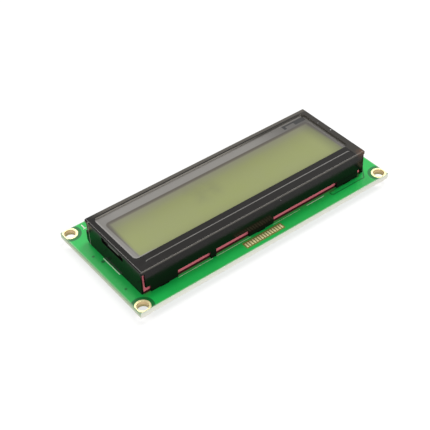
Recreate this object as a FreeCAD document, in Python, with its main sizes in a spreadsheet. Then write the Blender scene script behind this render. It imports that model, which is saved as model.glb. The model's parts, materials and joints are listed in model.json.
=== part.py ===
import FreeCAD, Part
import math
import os
import re

import Sketcher

# Character display module, two lines of sixteen characters, in millimetres.
# The origin is the centre of the four mounting holes on the board's rear face.
# +X runs along the board, +Y points to the edge with the header holes, +Z to the viewer.

SIZES = (
    # Circuit board and its plated holes
    ("board_length", 80.0),
    ("board_width", 36.0),
    ("board_thickness", 1.6),
    ("fixing_inset", 1.75),
    ("fixing_bore", 3.0),
    ("fixing_pad", 4.1),
    ("barrel_wall", 0.1),
    ("pad_thickness", 0.05),
    ("header_count", 16),
    ("header_pitch", 2.54),
    ("header_edge_gap", 8.0),
    ("header_row_inset", 2.5),
    ("header_bore", 1.0),
    ("header_pad", 1.8),
    # Folded steel bezel
    ("bezel_length", 71.56),
    ("bezel_width", 24.85),
    ("bezel_height", 7.5),
    ("bezel_shift_long", -0.53),
    ("bezel_shift_wide", -1.25),
    ("steel_thickness", 0.5),
    ("bend_radius", 0.4),
    ("window_length", 68.15),
    ("window_width", 18.5),
    ("window_shift_long", -0.6),
    ("window_shift_wide", 0.25),
    ("window_radius", 1.1),
    ("rib_length", 65.5),
    ("rib_width", 1.8),
    ("rib_depth", 0.15),
    ("rib_inset", 1.1),
    ("relief_height", 2.1),
    ("left_corner_foot", -33.9),
    ("first_gap_start", -26.0),
    ("first_gap_end", -16.1),
    ("second_gap_start", -14.4),
    ("second_gap_end", -4.0),
    ("third_gap_start", 3.9),
    ("third_gap_end", 25.5),
    ("right_corner_foot", 32.8),
    ("corner_slit_drop", 0.95),
    ("corner_slit_gap", 0.5),
    ("far_slit_height", 3.0),
    ("far_slit_width", 1.2),
    ("port_slot_start", -5.9),
    ("port_slot_end", 3.45),
    ("port_slot_height", 1.65),
    ("port_slot_drop", 0.6),
    ("port_slot_radius", 0.5),
    ("flap_radius", 2.0),
    # Twisted fixing tabs
    ("tab_width", 2.4),
    ("narrow_tab_width", 1.4),
    ("tab_reach", 1.45),
    ("tab_twist", 38.0),
    ("tab_neck", 0.7),
    ("tab_tip_share", 0.75),
    ("slot_side_clearance", 0.1),
    ("slot_face_clearance", 0.15),
    # Glass cell, polarisers and contact strip
    ("film_thickness", 0.2),
    ("glass_thickness", 1.1),
    ("cell_gap", 0.05),
    ("glass_end_clearance", 0.25),
    ("glass_near_clearance", 0.17),
    ("glass_far_clearance", 0.22),
    ("contact_ledge", 2.35),
    ("polariser_end_margin", 0.25),
    ("polariser_bare_strip", 1.65),
    ("polariser_side_margin", 0.2),
    ("seal_width", 0.6),
    ("seal_side_margin", 0.15),
    ("seal_port_margin", 2.9),
    ("seal_end_margin", 0.5),
    ("seal_radius", 1.6),
    ("port_width", 3.0),
    ("port_shift", -1.2),
    ("plug_length", 4.6),
    ("plug_height", 0.9),
    ("strip_setback", 0.4),
    ("strip_thickness", 1.6),
    ("strip_end_margin", 0.05),
    ("contact_count", 96),
    ("contact_pitch", 0.7),
    ("contact_width", 0.4),
    ("contact_inset", 0.1),
    # Backlight
    ("light_end_clearance", 0.5),
    ("light_strip_gap", 0.25),
    ("light_far_clearance", 0.18),
    ("light_board_thickness", 0.8),
    ("light_wall", 1.6),
    ("light_rebate", 0.8),
    ("diffuser_thickness", 0.25),
    ("reflector_slope", 18.0),
    ("lamp_rows", 2),
    ("lamp_columns", 9),
    ("lamp_size", 0.7),
    ("lamp_height", 0.3),
    ("lamp_row_spacing", 7.0),
    ("lamp_column_spacing", 6.6),
    ("lead_inset", 1.3),
    ("lead_spacing", 5.08),
    ("lead_width", 0.6),
    ("lead_hole", 1.0),
    ("light_board_slot", 0.8),
    ("lead_reach", 0.9),
    ("joint_radius", 0.95),
    ("joint_tip_radius", 0.45),
    ("joint_height", 0.75),
    # Components on the rear face
    ("blob_spacing", 27.0),
    ("blob_shift_wide", -3.0),
    ("controller_blob_diameter", 13.5),
    ("driver_blob_diameter", 12.0),
    ("blob_height", 1.25),
    ("resistor_count", 7),
    ("resistor_pitch", 6.4),
    ("resistor_edge_gap", 11.0),
    ("capacitor_count", 4),
    ("capacitor_pitch", 3.6),
    ("capacitor_edge_gap", 12.5),
    ("chip_length", 2.0),
    ("chip_width", 1.25),
    ("chip_end", 0.4),
    ("resistor_height", 0.5),
    ("capacitor_height", 0.85),
    ("land_overhang", 0.35),
    ("jumper_count", 3),
    ("jumper_pitch", 3.0),
    ("jumper_gap", 0.4),
    ("jumper_pad", 1.2),
    ("jumper_row", -10.2),
)

doc = FreeCAD.newDocument("character_lcd_module")
sheet = doc.addObject("Spreadsheet::Sheet", "Sizes")
for row, (alias, number) in enumerate(SIZES, start=1):
    sheet.set(f"A{row}", alias)
    sheet.set(f"B{row}", str(number))
    sheet.setAlias(f"B{row}", alias)
gauge = doc.addObject("Part::Box", "gauge_block")
doc.recompute()

ALIASES = {alias for alias, number in SIZES}
WORD = re.compile(r"[a-z][a-z_]*")

# Levels and edges that several pieces share, as formulas of the sheet's words
STEEL_UNDERSIDE = "(board_thickness + bezel_height - steel_thickness)"
FRONT_GLASS_TOP = f"({STEEL_UNDERSIDE} - film_thickness)"
FRONT_GLASS_BASE = f"({FRONT_GLASS_TOP} - glass_thickness)"
REAR_GLASS_TOP = f"({FRONT_GLASS_BASE} - cell_gap)"
REAR_GLASS_BASE = f"({REAR_GLASS_TOP} - glass_thickness)"
LIGHT_TOP = f"({REAR_GLASS_BASE} - film_thickness)"
BEZEL_LEFT = "(bezel_shift_long - bezel_length / 2)"
BEZEL_RIGHT = "(bezel_shift_long + bezel_length / 2)"
BEZEL_NEAR = "(bezel_shift_wide - bezel_width / 2)"
BEZEL_FAR = "(bezel_shift_wide + bezel_width / 2)"
GLASS_LEFT = f"({BEZEL_LEFT} + steel_thickness + glass_end_clearance)"
GLASS_RIGHT = f"({BEZEL_RIGHT} - steel_thickness - glass_end_clearance)"
GLASS_NEAR = f"({BEZEL_NEAR} + steel_thickness + glass_near_clearance)"
GLASS_FAR = f"({BEZEL_FAR} - steel_thickness - glass_far_clearance)"
LEDGE = f"({GLASS_NEAR} + contact_ledge)"
STRIP_NEAR = f"({GLASS_NEAR} + strip_setback)"
STRIP_FAR = f"({STRIP_NEAR} + strip_thickness)"
LIGHT_LEFT = f"({BEZEL_LEFT} + steel_thickness + light_end_clearance)"
LIGHT_RIGHT = f"({BEZEL_RIGHT} - steel_thickness - light_end_clearance)"
LIGHT_NEAR = f"({STRIP_FAR} + light_strip_gap)"
LIGHT_FAR = f"({BEZEL_FAR} - steel_thickness - light_far_clearance)"
LIGHT_MIDDLE = f"(({LIGHT_NEAR} + {LIGHT_FAR}) / 2)"

# Each tab stands in the middle of a foot between two gaps of the long walls
FEET = (
    ("(left_corner_foot + first_gap_start) / 2", "tab_width"),
    ("(first_gap_end + second_gap_start) / 2", "narrow_tab_width"),
    ("(second_gap_end + third_gap_start) / 2", "tab_width"),
    ("(third_gap_end + right_corner_foot) / 2", "tab_width"),
)
WALL_MIDDLES = (
    f"({BEZEL_NEAR} + steel_thickness / 2)",
    f"({BEZEL_FAR} - steel_thickness / 2)",
)
LEAD_COLUMNS = (f"({LIGHT_LEFT} + lead_inset)", f"({LIGHT_RIGHT} - lead_inset)")
LEAD_SIDES = (-1, 1)

# Straight pieces in which a tab's neck turns, flats round a small plated hole or joint, and
# the straight bands that a resin dome's section has from its rim to its middle
TWIST_STEPS = 4
SMALL_ROUND_FLATS = 10
DOME_BANDS = 3


def linked(formula):
    """Give a formula in the sheet's words as one that reads the sheet's cells."""
    return WORD.sub(lambda found: "Sizes." + found.group() if found.group() in ALIASES
                    else found.group(), str(formula))


def size(alias):
    """Read one number of the sheet."""
    return float(sheet.get(alias))


def bind(item, **formulas):
    """Bind properties of an object to formulas of the sheet."""
    for name, formula in formulas.items():
        item.setExpression(name, linked(formula))


def place(item, across, along, up):
    """Bind where an object stands."""
    for axis, formula in zip("xyz", (across, along, up)):
        item.setExpression(f"Placement.Base.{axis}", linked(formula))


def measure(formula):
    """Work out a formula of the sheet's words, by way of the gauge block."""
    gauge.setExpression("Placement.Base.x", linked(formula))
    gauge.recompute()
    return gauge.Placement.Base.x


def box(name, left, right, near, far, base, top):
    """A block between six formulas."""
    block = doc.addObject("Part::Box", name)
    block.Label = name
    bind(block, Length=f"({right}) - ({left})", Width=f"({far}) - ({near})",
         Height=f"({top}) - ({base})")
    place(block, left, near, base)
    return block


def cut(name, base, tool):
    """One shape less another."""
    result = doc.addObject("Part::Cut", name)
    result.Label = name
    result.Base = base
    result.Tool = tool
    return result


def join(name, shapes, kind="Part::Compound"):
    """Several shapes in one node: a group of separate pieces, or one fused piece."""
    result = doc.addObject(kind, name)
    result.Label = name
    if kind == "Part::Compound":
        result.Links = shapes
    else:
        result.Shapes = shapes
    return result


def new_body(name):
    """An empty body for sketched features."""
    body = doc.addObject("PartDesign::Body", name)
    body.Label = name
    return body


def new_sketch(body, name, role="XY_Plane", offset="0"):
    """A sketch on one of the body's own origin planes, or level with it."""
    plane = [feature for feature in body.Origin.OriginFeatures if feature.Role == role][0]
    sketch = body.newObject("Sketcher::SketchObject", name)
    sketch.AttachmentSupport = [(plane, "")]
    sketch.MapMode = "FlatFace"
    sketch.setExpression("AttachmentOffset.Base.z", linked(offset))
    return sketch


def fix_point(sketch, curve, end, across, up):
    """Hold a point of a curve at two formulas from the sketch's origin."""
    for kind, formula in (("DistanceX", across), ("DistanceY", up)):
        number = sketch.addConstraint(
            Sketcher.Constraint(kind, -1, 1, curve, end, measure(formula)))
        sketch.setExpression(f"Constraints[{number}]", linked(formula))


def draw_rectangle(sketch, left, right, bottom, top):
    """Four lines, held at two opposite corners."""
    first = sketch.GeometryCount
    ends, levels = (measure(left), measure(right)), (measure(bottom), measure(top))
    corners = [FreeCAD.Vector(ends[x], levels[y], 0) for x, y in ((0, 0), (1, 0), (1, 1), (0, 1))]
    for side in range(4):
        sketch.addGeometry(Part.LineSegment(corners[side], corners[(side + 1) % 4]), False)
    for side in range(4):
        following = first + (side + 1) % 4
        sketch.addConstraint(Sketcher.Constraint("Coincident", first + side, 2, following, 1))
        straight = "Vertical" if side % 2 else "Horizontal"
        sketch.addConstraint(Sketcher.Constraint(straight, first + side))
    fix_point(sketch, first, 1, left, bottom)
    fix_point(sketch, first + 1, 2, right, top)


def draw_circle(sketch, across, up, diameter):
    """A circle held by its centre and diameter."""
    centre = FreeCAD.Vector(measure(across), measure(up), 0)
    ring = Part.Circle(centre, FreeCAD.Vector(0, 0, 1), measure(diameter) / 2)
    circle = sketch.addGeometry(ring, False)
    fix_point(sketch, circle, 3, across, up)
    number = sketch.addConstraint(Sketcher.Constraint("Diameter", circle, measure(diameter)))
    sketch.setExpression(f"Constraints[{number}]", linked(diameter))


def draw_polygon(sketch, across, up, diameter):
    """A small round hole as a regular polygon, each corner held from the origin."""
    first = sketch.GeometryCount
    turns = [360 * corner / SMALL_ROUND_FLATS for corner in range(SMALL_ROUND_FLATS)]
    corners = [(f"{across} + {diameter} / 2 * cos({turn})", f"{up} + {diameter} / 2 * sin({turn})")
               for turn in turns]
    points = [FreeCAD.Vector(measure(x), measure(y), 0) for x, y in corners]
    for number, point in enumerate(points):
        following = points[(number + 1) % SMALL_ROUND_FLATS]
        sketch.addGeometry(Part.LineSegment(point, following), False)
    for number in range(SMALL_ROUND_FLATS):
        following = first + (number + 1) % SMALL_ROUND_FLATS
        sketch.addConstraint(Sketcher.Constraint("Coincident", first + number, 2, following, 1))
    for number, (x, y) in enumerate(corners):
        fix_point(sketch, first + number, 1, x, y)


def draw_oblong(sketch, left, right, middle, width):
    """A long hole with round ends: two lines and two half circles."""
    up = FreeCAD.Vector(0, 0, 1)
    radius = measure(f"({width}) / 2")
    low, high = measure(middle) - radius, measure(middle) + radius
    ends = (measure(right) - radius, measure(left) + radius)
    quarter = math.pi / 2
    first = sketch.GeometryCount
    for number, (start, end, turn) in enumerate(((ends[1], ends[0], -quarter),
                                                 (ends[0], ends[1], quarter))):
        height = high if number else low
        sketch.addGeometry(Part.LineSegment(FreeCAD.Vector(start, height, 0),
                                            FreeCAD.Vector(end, height, 0)), False)
        circle = Part.Circle(FreeCAD.Vector(end, (low + high) / 2, 0), up, radius)
        sketch.addGeometry(Part.ArcOfCircle(circle, turn, turn + 2 * quarter), False)
    for piece in range(4):
        following = first + (piece + 1) % 4
        sketch.addConstraint(Sketcher.Constraint("Tangent", first + piece, 2, following, 1))
    fix_point(sketch, first + 1, 3, f"({right}) - ({width}) / 2", middle)
    fix_point(sketch, first + 3, 3, f"({left}) + ({width}) / 2", middle)
    for arc in (first + 1, first + 3):
        number = sketch.addConstraint(Sketcher.Constraint("Radius", arc, radius))
        sketch.setExpression(f"Constraints[{number}]", linked(f"({width}) / 2"))


def pad(body, sketch, name, length):
    """Raise a sketch from its plane."""
    feature = body.newObject("PartDesign::Pad", name)
    feature.Profile = sketch
    bind(feature, Length=length)
    return feature


def pocket(body, sketch, name, depth=None, upward=False, both_ways=False, taper="0"):
    """Cut a sketch out of the body, right through it where no depth is given."""
    before = body.Shape.Volume
    feature = body.newObject("PartDesign::Pocket", name)
    feature.Profile = sketch
    feature.Reversed = upward
    feature.Midplane = both_ways
    if depth is None:
        feature.Type = "ThroughAll"
    else:
        bind(feature, Length=depth, TaperAngle=taper)
    doc.recompute()
    if not body.Shape.Volume < before - 1e-6:
        raise RuntimeError(f"{name} cuts nothing")
    return feature


def fillet(body, base, name, radius, wanted):
    """Round the edges of a feature that a test picks out."""
    doc.recompute()
    edges = [f"Edge{number}" for number, edge in enumerate(base.Shape.Edges, start=1)
             if wanted(edge)]
    feature = body.newObject("PartDesign::Fillet", name)
    feature.Base = (base, edges)
    bind(feature, Radius=radius)
    doc.recompute()
    return feature


def upright(edge):
    """Whether an edge is a straight line along Z."""
    if len(edge.Vertexes) != 2:
        return False
    start, end = (vertex.Point for vertex in edge.Vertexes)
    return math.hypot(end.x - start.x, end.y - start.y) < 1e-6


def level(edge, height):
    """Whether both ends of an edge lie at one height."""
    return all(abs(vertex.Point.z - height) < 1e-6 for vertex in edge.Vertexes)


def corner_at(edges_of_outline):
    """A test for upright edges that stand at the left or right end of an outline."""
    ends = [measure(formula) for formula in edges_of_outline[:2]]
    return lambda edge: upright(edge) and min(
        abs(edge.Vertexes[0].Point.x - end) for end in ends) < 1e-6


def make_board():
    """The laminate board: outline, drilled holes and the slots for the bezel's tabs."""
    body = new_body("circuit_board")
    outline = new_sketch(body, "board_outline")
    draw_rectangle(outline, "-board_length / 2", "board_length / 2",
                   "-board_width / 2", "board_width / 2")
    pad(body, outline, "board_plate", "board_thickness")
    doc.recompute()

    fixings = new_sketch(body, "fixing_holes")
    for side in (-1, 1):
        for end in (-1, 1):
            draw_circle(fixings, f"{end} * (board_length / 2 - fixing_inset)",
                        f"{side} * (board_width / 2 - fixing_inset)",
                        "fixing_bore + 2 * barrel_wall")
    pocket(body, fixings, "fixing_hole_cut", upward=True)

    slots = new_sketch(body, "tab_slots")
    for middle in WALL_MIDDLES:
        for centre, width in FEET:
            half = f"({width} / 2 + slot_side_clearance)"
            reach = "(steel_thickness / 2 + slot_face_clearance)"
            draw_rectangle(slots, f"{centre} - {half}", f"{centre} + {half}",
                           f"{middle} - {reach}", f"{middle} + {reach}")
    pocket(body, slots, "tab_slot_cut", upward=True)

    leads = new_sketch(body, "lead_holes")
    for column in LEAD_COLUMNS:
        for side in LEAD_SIDES:
            draw_circle(leads, column, lead_place(side), "lead_hole")
    pocket(body, leads, "lead_hole_cut", upward=True)

    header = new_sketch(body, "header_hole")
    draw_polygon(header, "header_edge_gap - board_length / 2",
                 "board_width / 2 - header_row_inset", "(header_bore + 2 * barrel_wall)")
    hole = pocket(body, header, "header_hole_cut", upward=True)
    row = body.newObject("PartDesign::LinearPattern", "header_row")
    row.Originals = [hole]
    row.Direction = (header, ["H_Axis"])
    bind(row, Length="header_pitch * (header_count - 1)", Occurrences="header_count")
    body.Tip = row
    return body


def turned(name, corners):
    """A piece turned about the Z axis from its half section, a closed run of corners."""
    body = new_body(name)
    sketch = new_sketch(body, f"{name}_section", "XZ_Plane")
    points = [FreeCAD.Vector(measure(across), measure(up), 0) for across, up in corners]
    count = len(corners)
    for number in range(count):
        sketch.addGeometry(Part.LineSegment(points[number], points[(number + 1) % count]), False)
    for number in range(count):
        following = (number + 1) % count
        sketch.addConstraint(Sketcher.Constraint("Coincident", number, 2, following, 1))
    for number, (across, up) in enumerate(corners):
        fix_point(sketch, number, 1, across, up)
    turn = body.newObject("PartDesign::Revolution", f"{name}_turn")
    turn.Profile = sketch
    turn.ReferenceAxis = (sketch, ["V_Axis"])
    turn.Angle = 360.0
    doc.recompute()
    return body


def plated_hole(name, bore, pad_size):
    """A plated hole at the origin: a barrel with a flat ring on each face of the board."""
    inner = f"({bore} / 2)"
    barrel = f"({inner} + barrel_wall)"
    rim = f"({pad_size} / 2)"
    low, high = "(-pad_thickness)", "(board_thickness + pad_thickness)"
    return turned(name, ((inner, low), (rim, low), (rim, "0"), (barrel, "0"),
                         (barrel, "board_thickness"), (rim, "board_thickness"),
                         (rim, high), (inner, high)))


def flat_sided(name, diameter, base, top):
    """A small upright bar with flats in place of a round side, at the origin."""
    bar = doc.addObject("Part::Prism", name)
    bar.Polygon = SMALL_ROUND_FLATS
    bind(bar, Circumradius=f"{diameter} / 2", Height=f"({top}) - ({base})")
    place(bar, "0", "0", base)
    return bar


def small_plated_hole(name, bore, pad_size):
    """The same as a plated hole, with flats in place of its round sides."""
    low, high = "-pad_thickness", "board_thickness + pad_thickness"
    copper = join(f"{name}_copper", [
        flat_sided(f"{name}_rear_ring", pad_size, low, "0"),
        flat_sided(f"{name}_barrel", f"({bore} + 2 * barrel_wall)", low, high),
        flat_sided(f"{name}_front_ring", pad_size, "board_thickness", high)], "Part::MultiFuse")
    return cut(name, copper, flat_sided(f"{name}_bore", bore, f"2 * {low}", f"2 * ({high})"))


def copies(name, master, offsets):
    """Copies of one shape, each moved by its own vector, as one group."""
    group = doc.addObject("Part::Feature", name)
    group.Label = name
    moved = []
    for offset in offsets:
        shape = master.Shape.copy()
        shape.translate(offset)
        moved.append(shape)
    group.Shape = Part.makeCompound(moved)
    group.Placement = FreeCAD.Placement()
    return group


def make_plated_holes():
    """The four mounting holes' rings, trimmed at the board's edges, and the header's."""
    fixing = plated_hole("fixing_hole_master", "fixing_bore", "fixing_pad")
    corner_x = size("board_length") / 2 - size("fixing_inset")
    corner_y = size("board_width") / 2 - size("fixing_inset")
    untrimmed = copies("fixing_rings_untrimmed", fixing,
                       [FreeCAD.Vector(end * corner_x, side * corner_y, 0)
                        for side in (-1, 1) for end in (-1, 1)])
    limits = box("board_limits", "-board_length / 2", "board_length / 2", "-board_width / 2",
                 "board_width / 2", "-board_thickness", "2 * board_thickness")
    rings = doc.addObject("Part::MultiCommon", "mounting_hole_rings")
    rings.Label = "mounting_hole_rings"
    rings.Shapes = [untrimmed, limits]

    small = small_plated_hole("header_hole_master", "header_bore", "header_pad")
    doc.recompute()
    first = size("header_edge_gap") - size("board_length") / 2
    row = size("board_width") / 2 - size("header_row_inset")
    header = copies("header_hole_rings", small,
                    [FreeCAD.Vector(first + number * size("header_pitch"), row, 0)
                     for number in range(int(size("header_count")))])
    return [rings, header]


def make_bezel_shell():
    """The folded steel cover without its tabs."""
    body = new_body("bezel_shell")
    place(body, "bezel_shift_long", "bezel_shift_wide", "board_thickness")
    half_long, half_wide = "bezel_length / 2", "bezel_width / 2"
    outline = new_sketch(body, "bezel_outline")
    draw_rectangle(outline, f"-{half_long}", half_long, f"-{half_wide}", half_wide)
    block = pad(body, outline, "bezel_block", "bezel_height")
    height = size("bezel_height")
    bends = fillet(body, block, "bends", "bend_radius",
                   lambda edge: level(edge, height) or upright(edge))
    body.Tip = bends

    inside = new_sketch(body, "bezel_inside")
    draw_rectangle(inside, f"-{half_long} + steel_thickness", f"{half_long} - steel_thickness",
                   f"-{half_wide} + steel_thickness", f"{half_wide} - steel_thickness")
    pocket(body, inside, "hollow", "bezel_height - steel_thickness", upward=True)

    window = new_sketch(body, "window_outline", offset="bezel_height")
    across = "(window_shift_long - bezel_shift_long)"
    along = "(window_shift_wide - bezel_shift_wide)"
    draw_rectangle(window, f"{across} - window_length / 2", f"{across} + window_length / 2",
                   f"{along} - window_width / 2", f"{along} + window_width / 2")
    opening = pocket(body, window, "window", "2 * steel_thickness")
    underside = height - size("steel_thickness")
    window_edges = fillet(body, opening, "window_corners", "window_radius",
                          lambda edge: upright(edge) and all(
                              vertex.Point.z > underside - 1e-6 for vertex in edge.Vertexes)
                          and edge.Length > size("steel_thickness") - 1e-6)
    body.Tip = window_edges

    rib = new_sketch(body, "rib_outline", offset="bezel_height")
    draw_oblong(rib, "-rib_length / 2", "rib_length / 2",
                f"-{half_wide} + rib_inset + rib_width / 2", "rib_width")
    pocket(body, rib, "rib_groove", "rib_depth")
    ridge = new_sketch(body, "rib_underside", offset="bezel_height - steel_thickness - rib_depth")
    draw_oblong(ridge, "-rib_length / 2", "rib_length / 2",
                f"-{half_wide} + rib_inset + rib_width / 2", "rib_width")
    pad(body, ridge, "rib_ridge", "rib_depth")
    doc.recompute()

    gaps = new_sketch(body, "wall_gaps", "XZ_Plane")
    shift = "bezel_shift_long"
    inner_half = f"({half_long} - steel_thickness)"
    for start, end in ((f"-{inner_half}", f"left_corner_foot - {shift}"),
                       (f"first_gap_start - {shift}", f"first_gap_end - {shift}"),
                       (f"second_gap_start - {shift}", f"second_gap_end - {shift}"),
                       (f"third_gap_start - {shift}", f"third_gap_end - {shift}"),
                       (f"right_corner_foot - {shift}", inner_half)):
        draw_rectangle(gaps, start, end, "-relief_height", "relief_height")
    pocket(body, gaps, "wall_gap_cut", both_ways=True)

    near_slits = new_sketch(body, "near_corner_slits")
    for side in (-1, 1):
        outer = f"{side} * ({half_long} + steel_thickness)"
        inner = f"{side} * ({half_long} - steel_thickness - corner_slit_gap)"
        left, right = (inner, outer) if side > 0 else (outer, inner)
        draw_rectangle(near_slits, left, right,
                       f"-{half_wide} - steel_thickness", f"-{half_wide} + steel_thickness")
    pocket(body, near_slits, "near_corner_cut", "bezel_height - corner_slit_drop", upward=True)

    far_slits = new_sketch(body, "far_corner_slits",
                           offset="bezel_height - corner_slit_drop - far_slit_height")
    for side in (-1, 1):
        outer = f"{side} * ({half_long} + steel_thickness)"
        inner = f"{side} * ({half_long} - steel_thickness)"
        left, right = (inner, outer) if side > 0 else (outer, inner)
        draw_rectangle(far_slits, left, right,
                       f"{half_wide} - far_slit_width", f"{half_wide} + steel_thickness")
    pocket(body, far_slits, "far_corner_cut", "far_slit_height", upward=True)

    slot = new_sketch(body, "port_slot", "YZ_Plane")
    draw_rectangle(slot, "port_slot_start - bezel_shift_wide", "port_slot_end - bezel_shift_wide",
                   "bezel_height - port_slot_drop - port_slot_height",
                   "bezel_height - port_slot_drop")
    slot_cut = pocket(body, slot, "port_slot_cut", half_long)
    slot_top = measure("bezel_height - port_slot_drop")
    slot_base = measure("bezel_height - port_slot_drop - port_slot_height")
    slot_ends = [measure(f"{end} - bezel_shift_wide") for end in ("port_slot_start",
                                                                  "port_slot_end")]

    def slot_corner(edge):
        start, end = (edge.Vertexes[0].Point, edge.Vertexes[-1].Point)
        along_x = math.hypot(end.y - start.y, end.z - start.z) < 1e-6 < abs(end.x - start.x)
        return (along_x and min(abs(start.z - slot_top), abs(start.z - slot_base)) < 1e-6
                and min(abs(start.y - place) for place in slot_ends) < 1e-6)

    body.Tip = fillet(body, slot_cut, "port_slot_corners", "port_slot_radius", slot_corner)
    return body


def flap_corner():
    """What is trimmed to round the lower far corner of the left wall."""
    corner = f"{BEZEL_FAR} - flap_radius"
    block = box("flap_corner_block", f"{BEZEL_LEFT} - steel_thickness",
                f"{BEZEL_LEFT} + steel_thickness", corner, f"{BEZEL_FAR} + steel_thickness",
                "board_thickness - steel_thickness", "board_thickness + flap_radius")
    bar = doc.addObject("Part::Cylinder", "flap_corner_bar")
    bar.Placement.Rotation = FreeCAD.Rotation(FreeCAD.Vector(0, 1, 0), 90)
    bind(bar, Radius="flap_radius", Height="4 * steel_thickness")
    place(bar, f"{BEZEL_LEFT} - 2 * steel_thickness", corner, "board_thickness + flap_radius")
    return cut("flap_corner", block, bar)


def twisted_tab(width):
    """One tab: a straight stem through the board, then a neck turned about its own axis."""
    thickness = size("steel_thickness")
    stem_top = size("board_thickness") + thickness
    neck, reach, twist = size("tab_neck"), size("tab_reach"), size("tab_twist")
    stem = Part.makeBox(width, thickness, stem_top,
                        FreeCAD.Vector(-width / 2, -thickness / 2, 0))
    stations = [(-neck * step / TWIST_STEPS, twist * step / TWIST_STEPS, width)
                for step in range(TWIST_STEPS + 1)]
    stations.append((-reach, twist, width * size("tab_tip_share")))
    sections = []
    for height, angle, breadth in stations:
        turn = FreeCAD.Rotation(FreeCAD.Vector(0, 0, 1), angle)
        corners = [FreeCAD.Vector(x * breadth / 2, y * thickness / 2, height)
                   for x, y in ((-1, -1), (1, -1), (1, 1), (-1, 1))]
        sections.append([turn.multVec(corner) for corner in corners])
    outlines = [sections[0], sections[-1]]
    for upper, lower in zip(sections, sections[1:]):
        for side in range(4):
            following = (side + 1) % 4
            outlines.append([upper[side], upper[following], lower[following]])
            outlines.append([upper[side], lower[following], lower[side]])
    faces = [Part.Face(Part.makePolygon(outline + outline[:1])) for outline in outlines]
    return stem.fuse(Part.makeSolid(Part.makeShell(faces)))


def make_bezel():
    """The bezel: one folded sheet with the tabs that hold it to the board."""
    shell = make_bezel_shell()
    tabs = []
    for side, middle in zip(("near", "far"), WALL_MIDDLES):
        for number, (centre, width) in enumerate(FEET, start=1):
            tab = doc.addObject("Part::Feature", f"tab_{side}_{number}")
            tab.Shape = twisted_tab(size(width))
            place(tab, centre, middle, "0")
            tabs.append(tab)
    sheet_metal = join("tabbed_shell", [shell] + tabs, "Part::MultiFuse")
    sheet_metal.Refine = False
    return cut("bezel", sheet_metal, flap_corner())


def make_cell():
    """The glass cell: two plates, the seal, the fill, the port plug and two polarisers."""
    front = box("front_glass", GLASS_LEFT, GLASS_RIGHT, GLASS_NEAR, GLASS_FAR,
                FRONT_GLASS_BASE, FRONT_GLASS_TOP)
    rear = box("rear_glass", GLASS_LEFT, GLASS_RIGHT, LEDGE, GLASS_FAR,
               REAR_GLASS_BASE, REAR_GLASS_TOP)

    outer = (f"{GLASS_LEFT} + seal_port_margin", f"{GLASS_RIGHT} - seal_end_margin",
             f"{LEDGE} + seal_side_margin", f"{GLASS_FAR} - seal_side_margin")
    inner = (f"{outer[0]} + seal_width", f"{outer[1]} - seal_width",
             f"{outer[2]} + seal_width", f"{outer[3]} - seal_width")
    port = "port_shift"

    seal = new_body("cell_seal")
    place(seal, "0", "0", REAR_GLASS_TOP)
    ring = new_sketch(seal, "seal_outline")
    draw_rectangle(ring, *outer)
    pad(seal, ring, "seal_plate", "cell_gap")
    doc.recompute()
    space = new_sketch(seal, "fill_space")
    draw_rectangle(space, *inner)
    hollow = pocket(seal, space, "fill_space_cut", upward=True)
    inside = fillet(seal, hollow, "fill_corners", "seal_radius", corner_at(inner))
    outside = fillet(seal, inside, "seal_corners", "seal_radius + seal_width", corner_at(outer))
    seal.Tip = outside
    lips = new_sketch(seal, "port_lips")
    draw_rectangle(lips, GLASS_LEFT, f"{outer[0]} + seal_width / 2",
                   f"{port} - port_width / 2 - seal_width", f"{port} + port_width / 2 + seal_width")
    pad(seal, lips, "port_lip_plate", "cell_gap")
    doc.recompute()
    channel = new_sketch(seal, "port_channel")
    draw_rectangle(channel, f"{GLASS_LEFT} - seal_width", f"{inner[0]} + seal_width",
                   f"{port} - port_width / 2", f"{port} + port_width / 2")
    pocket(seal, channel, "port_channel_cut", upward=True)

    fill = new_body("liquid_crystal_fill")
    place(fill, "0", "0", REAR_GLASS_TOP)
    pool = new_sketch(fill, "fill_outline")
    draw_rectangle(pool, *inner)
    layer = pad(fill, pool, "fill_layer", "cell_gap")
    fill.Tip = fillet(fill, layer, "fill_layer_corners", "seal_radius", upright)

    plug = doc.addObject("Part::Cylinder", "fill_port_plug")
    plug.Label = "fill_port_plug"
    plug.Angle = 180
    plug.Placement.Rotation = FreeCAD.Rotation(
        FreeCAD.Vector(0, 0, -1), FreeCAD.Vector(-1, 0, 0), FreeCAD.Vector(0, 1, 0), "ZYX")
    bind(plug, Radius="plug_height / 2", Height="plug_length")
    place(plug, GLASS_LEFT, f"{port} - plug_length / 2",
          f"({FRONT_GLASS_BASE} + {REAR_GLASS_TOP}) / 2")

    front_film = box("front_polariser", f"{GLASS_LEFT} + polariser_end_margin",
                     f"{GLASS_RIGHT} - polariser_bare_strip", f"{LEDGE} + polariser_side_margin",
                     f"{GLASS_FAR} - polariser_side_margin", FRONT_GLASS_TOP, STEEL_UNDERSIDE)
    rear_film = box("rear_polariser", f"{GLASS_LEFT} + polariser_end_margin",
                    f"{GLASS_RIGHT} - polariser_end_margin", f"{LEDGE} + polariser_side_margin",
                    f"{GLASS_FAR} - polariser_side_margin", LIGHT_TOP, REAR_GLASS_BASE)
    return [front, rear, seal, fill, plug, front_film, rear_film]


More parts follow.
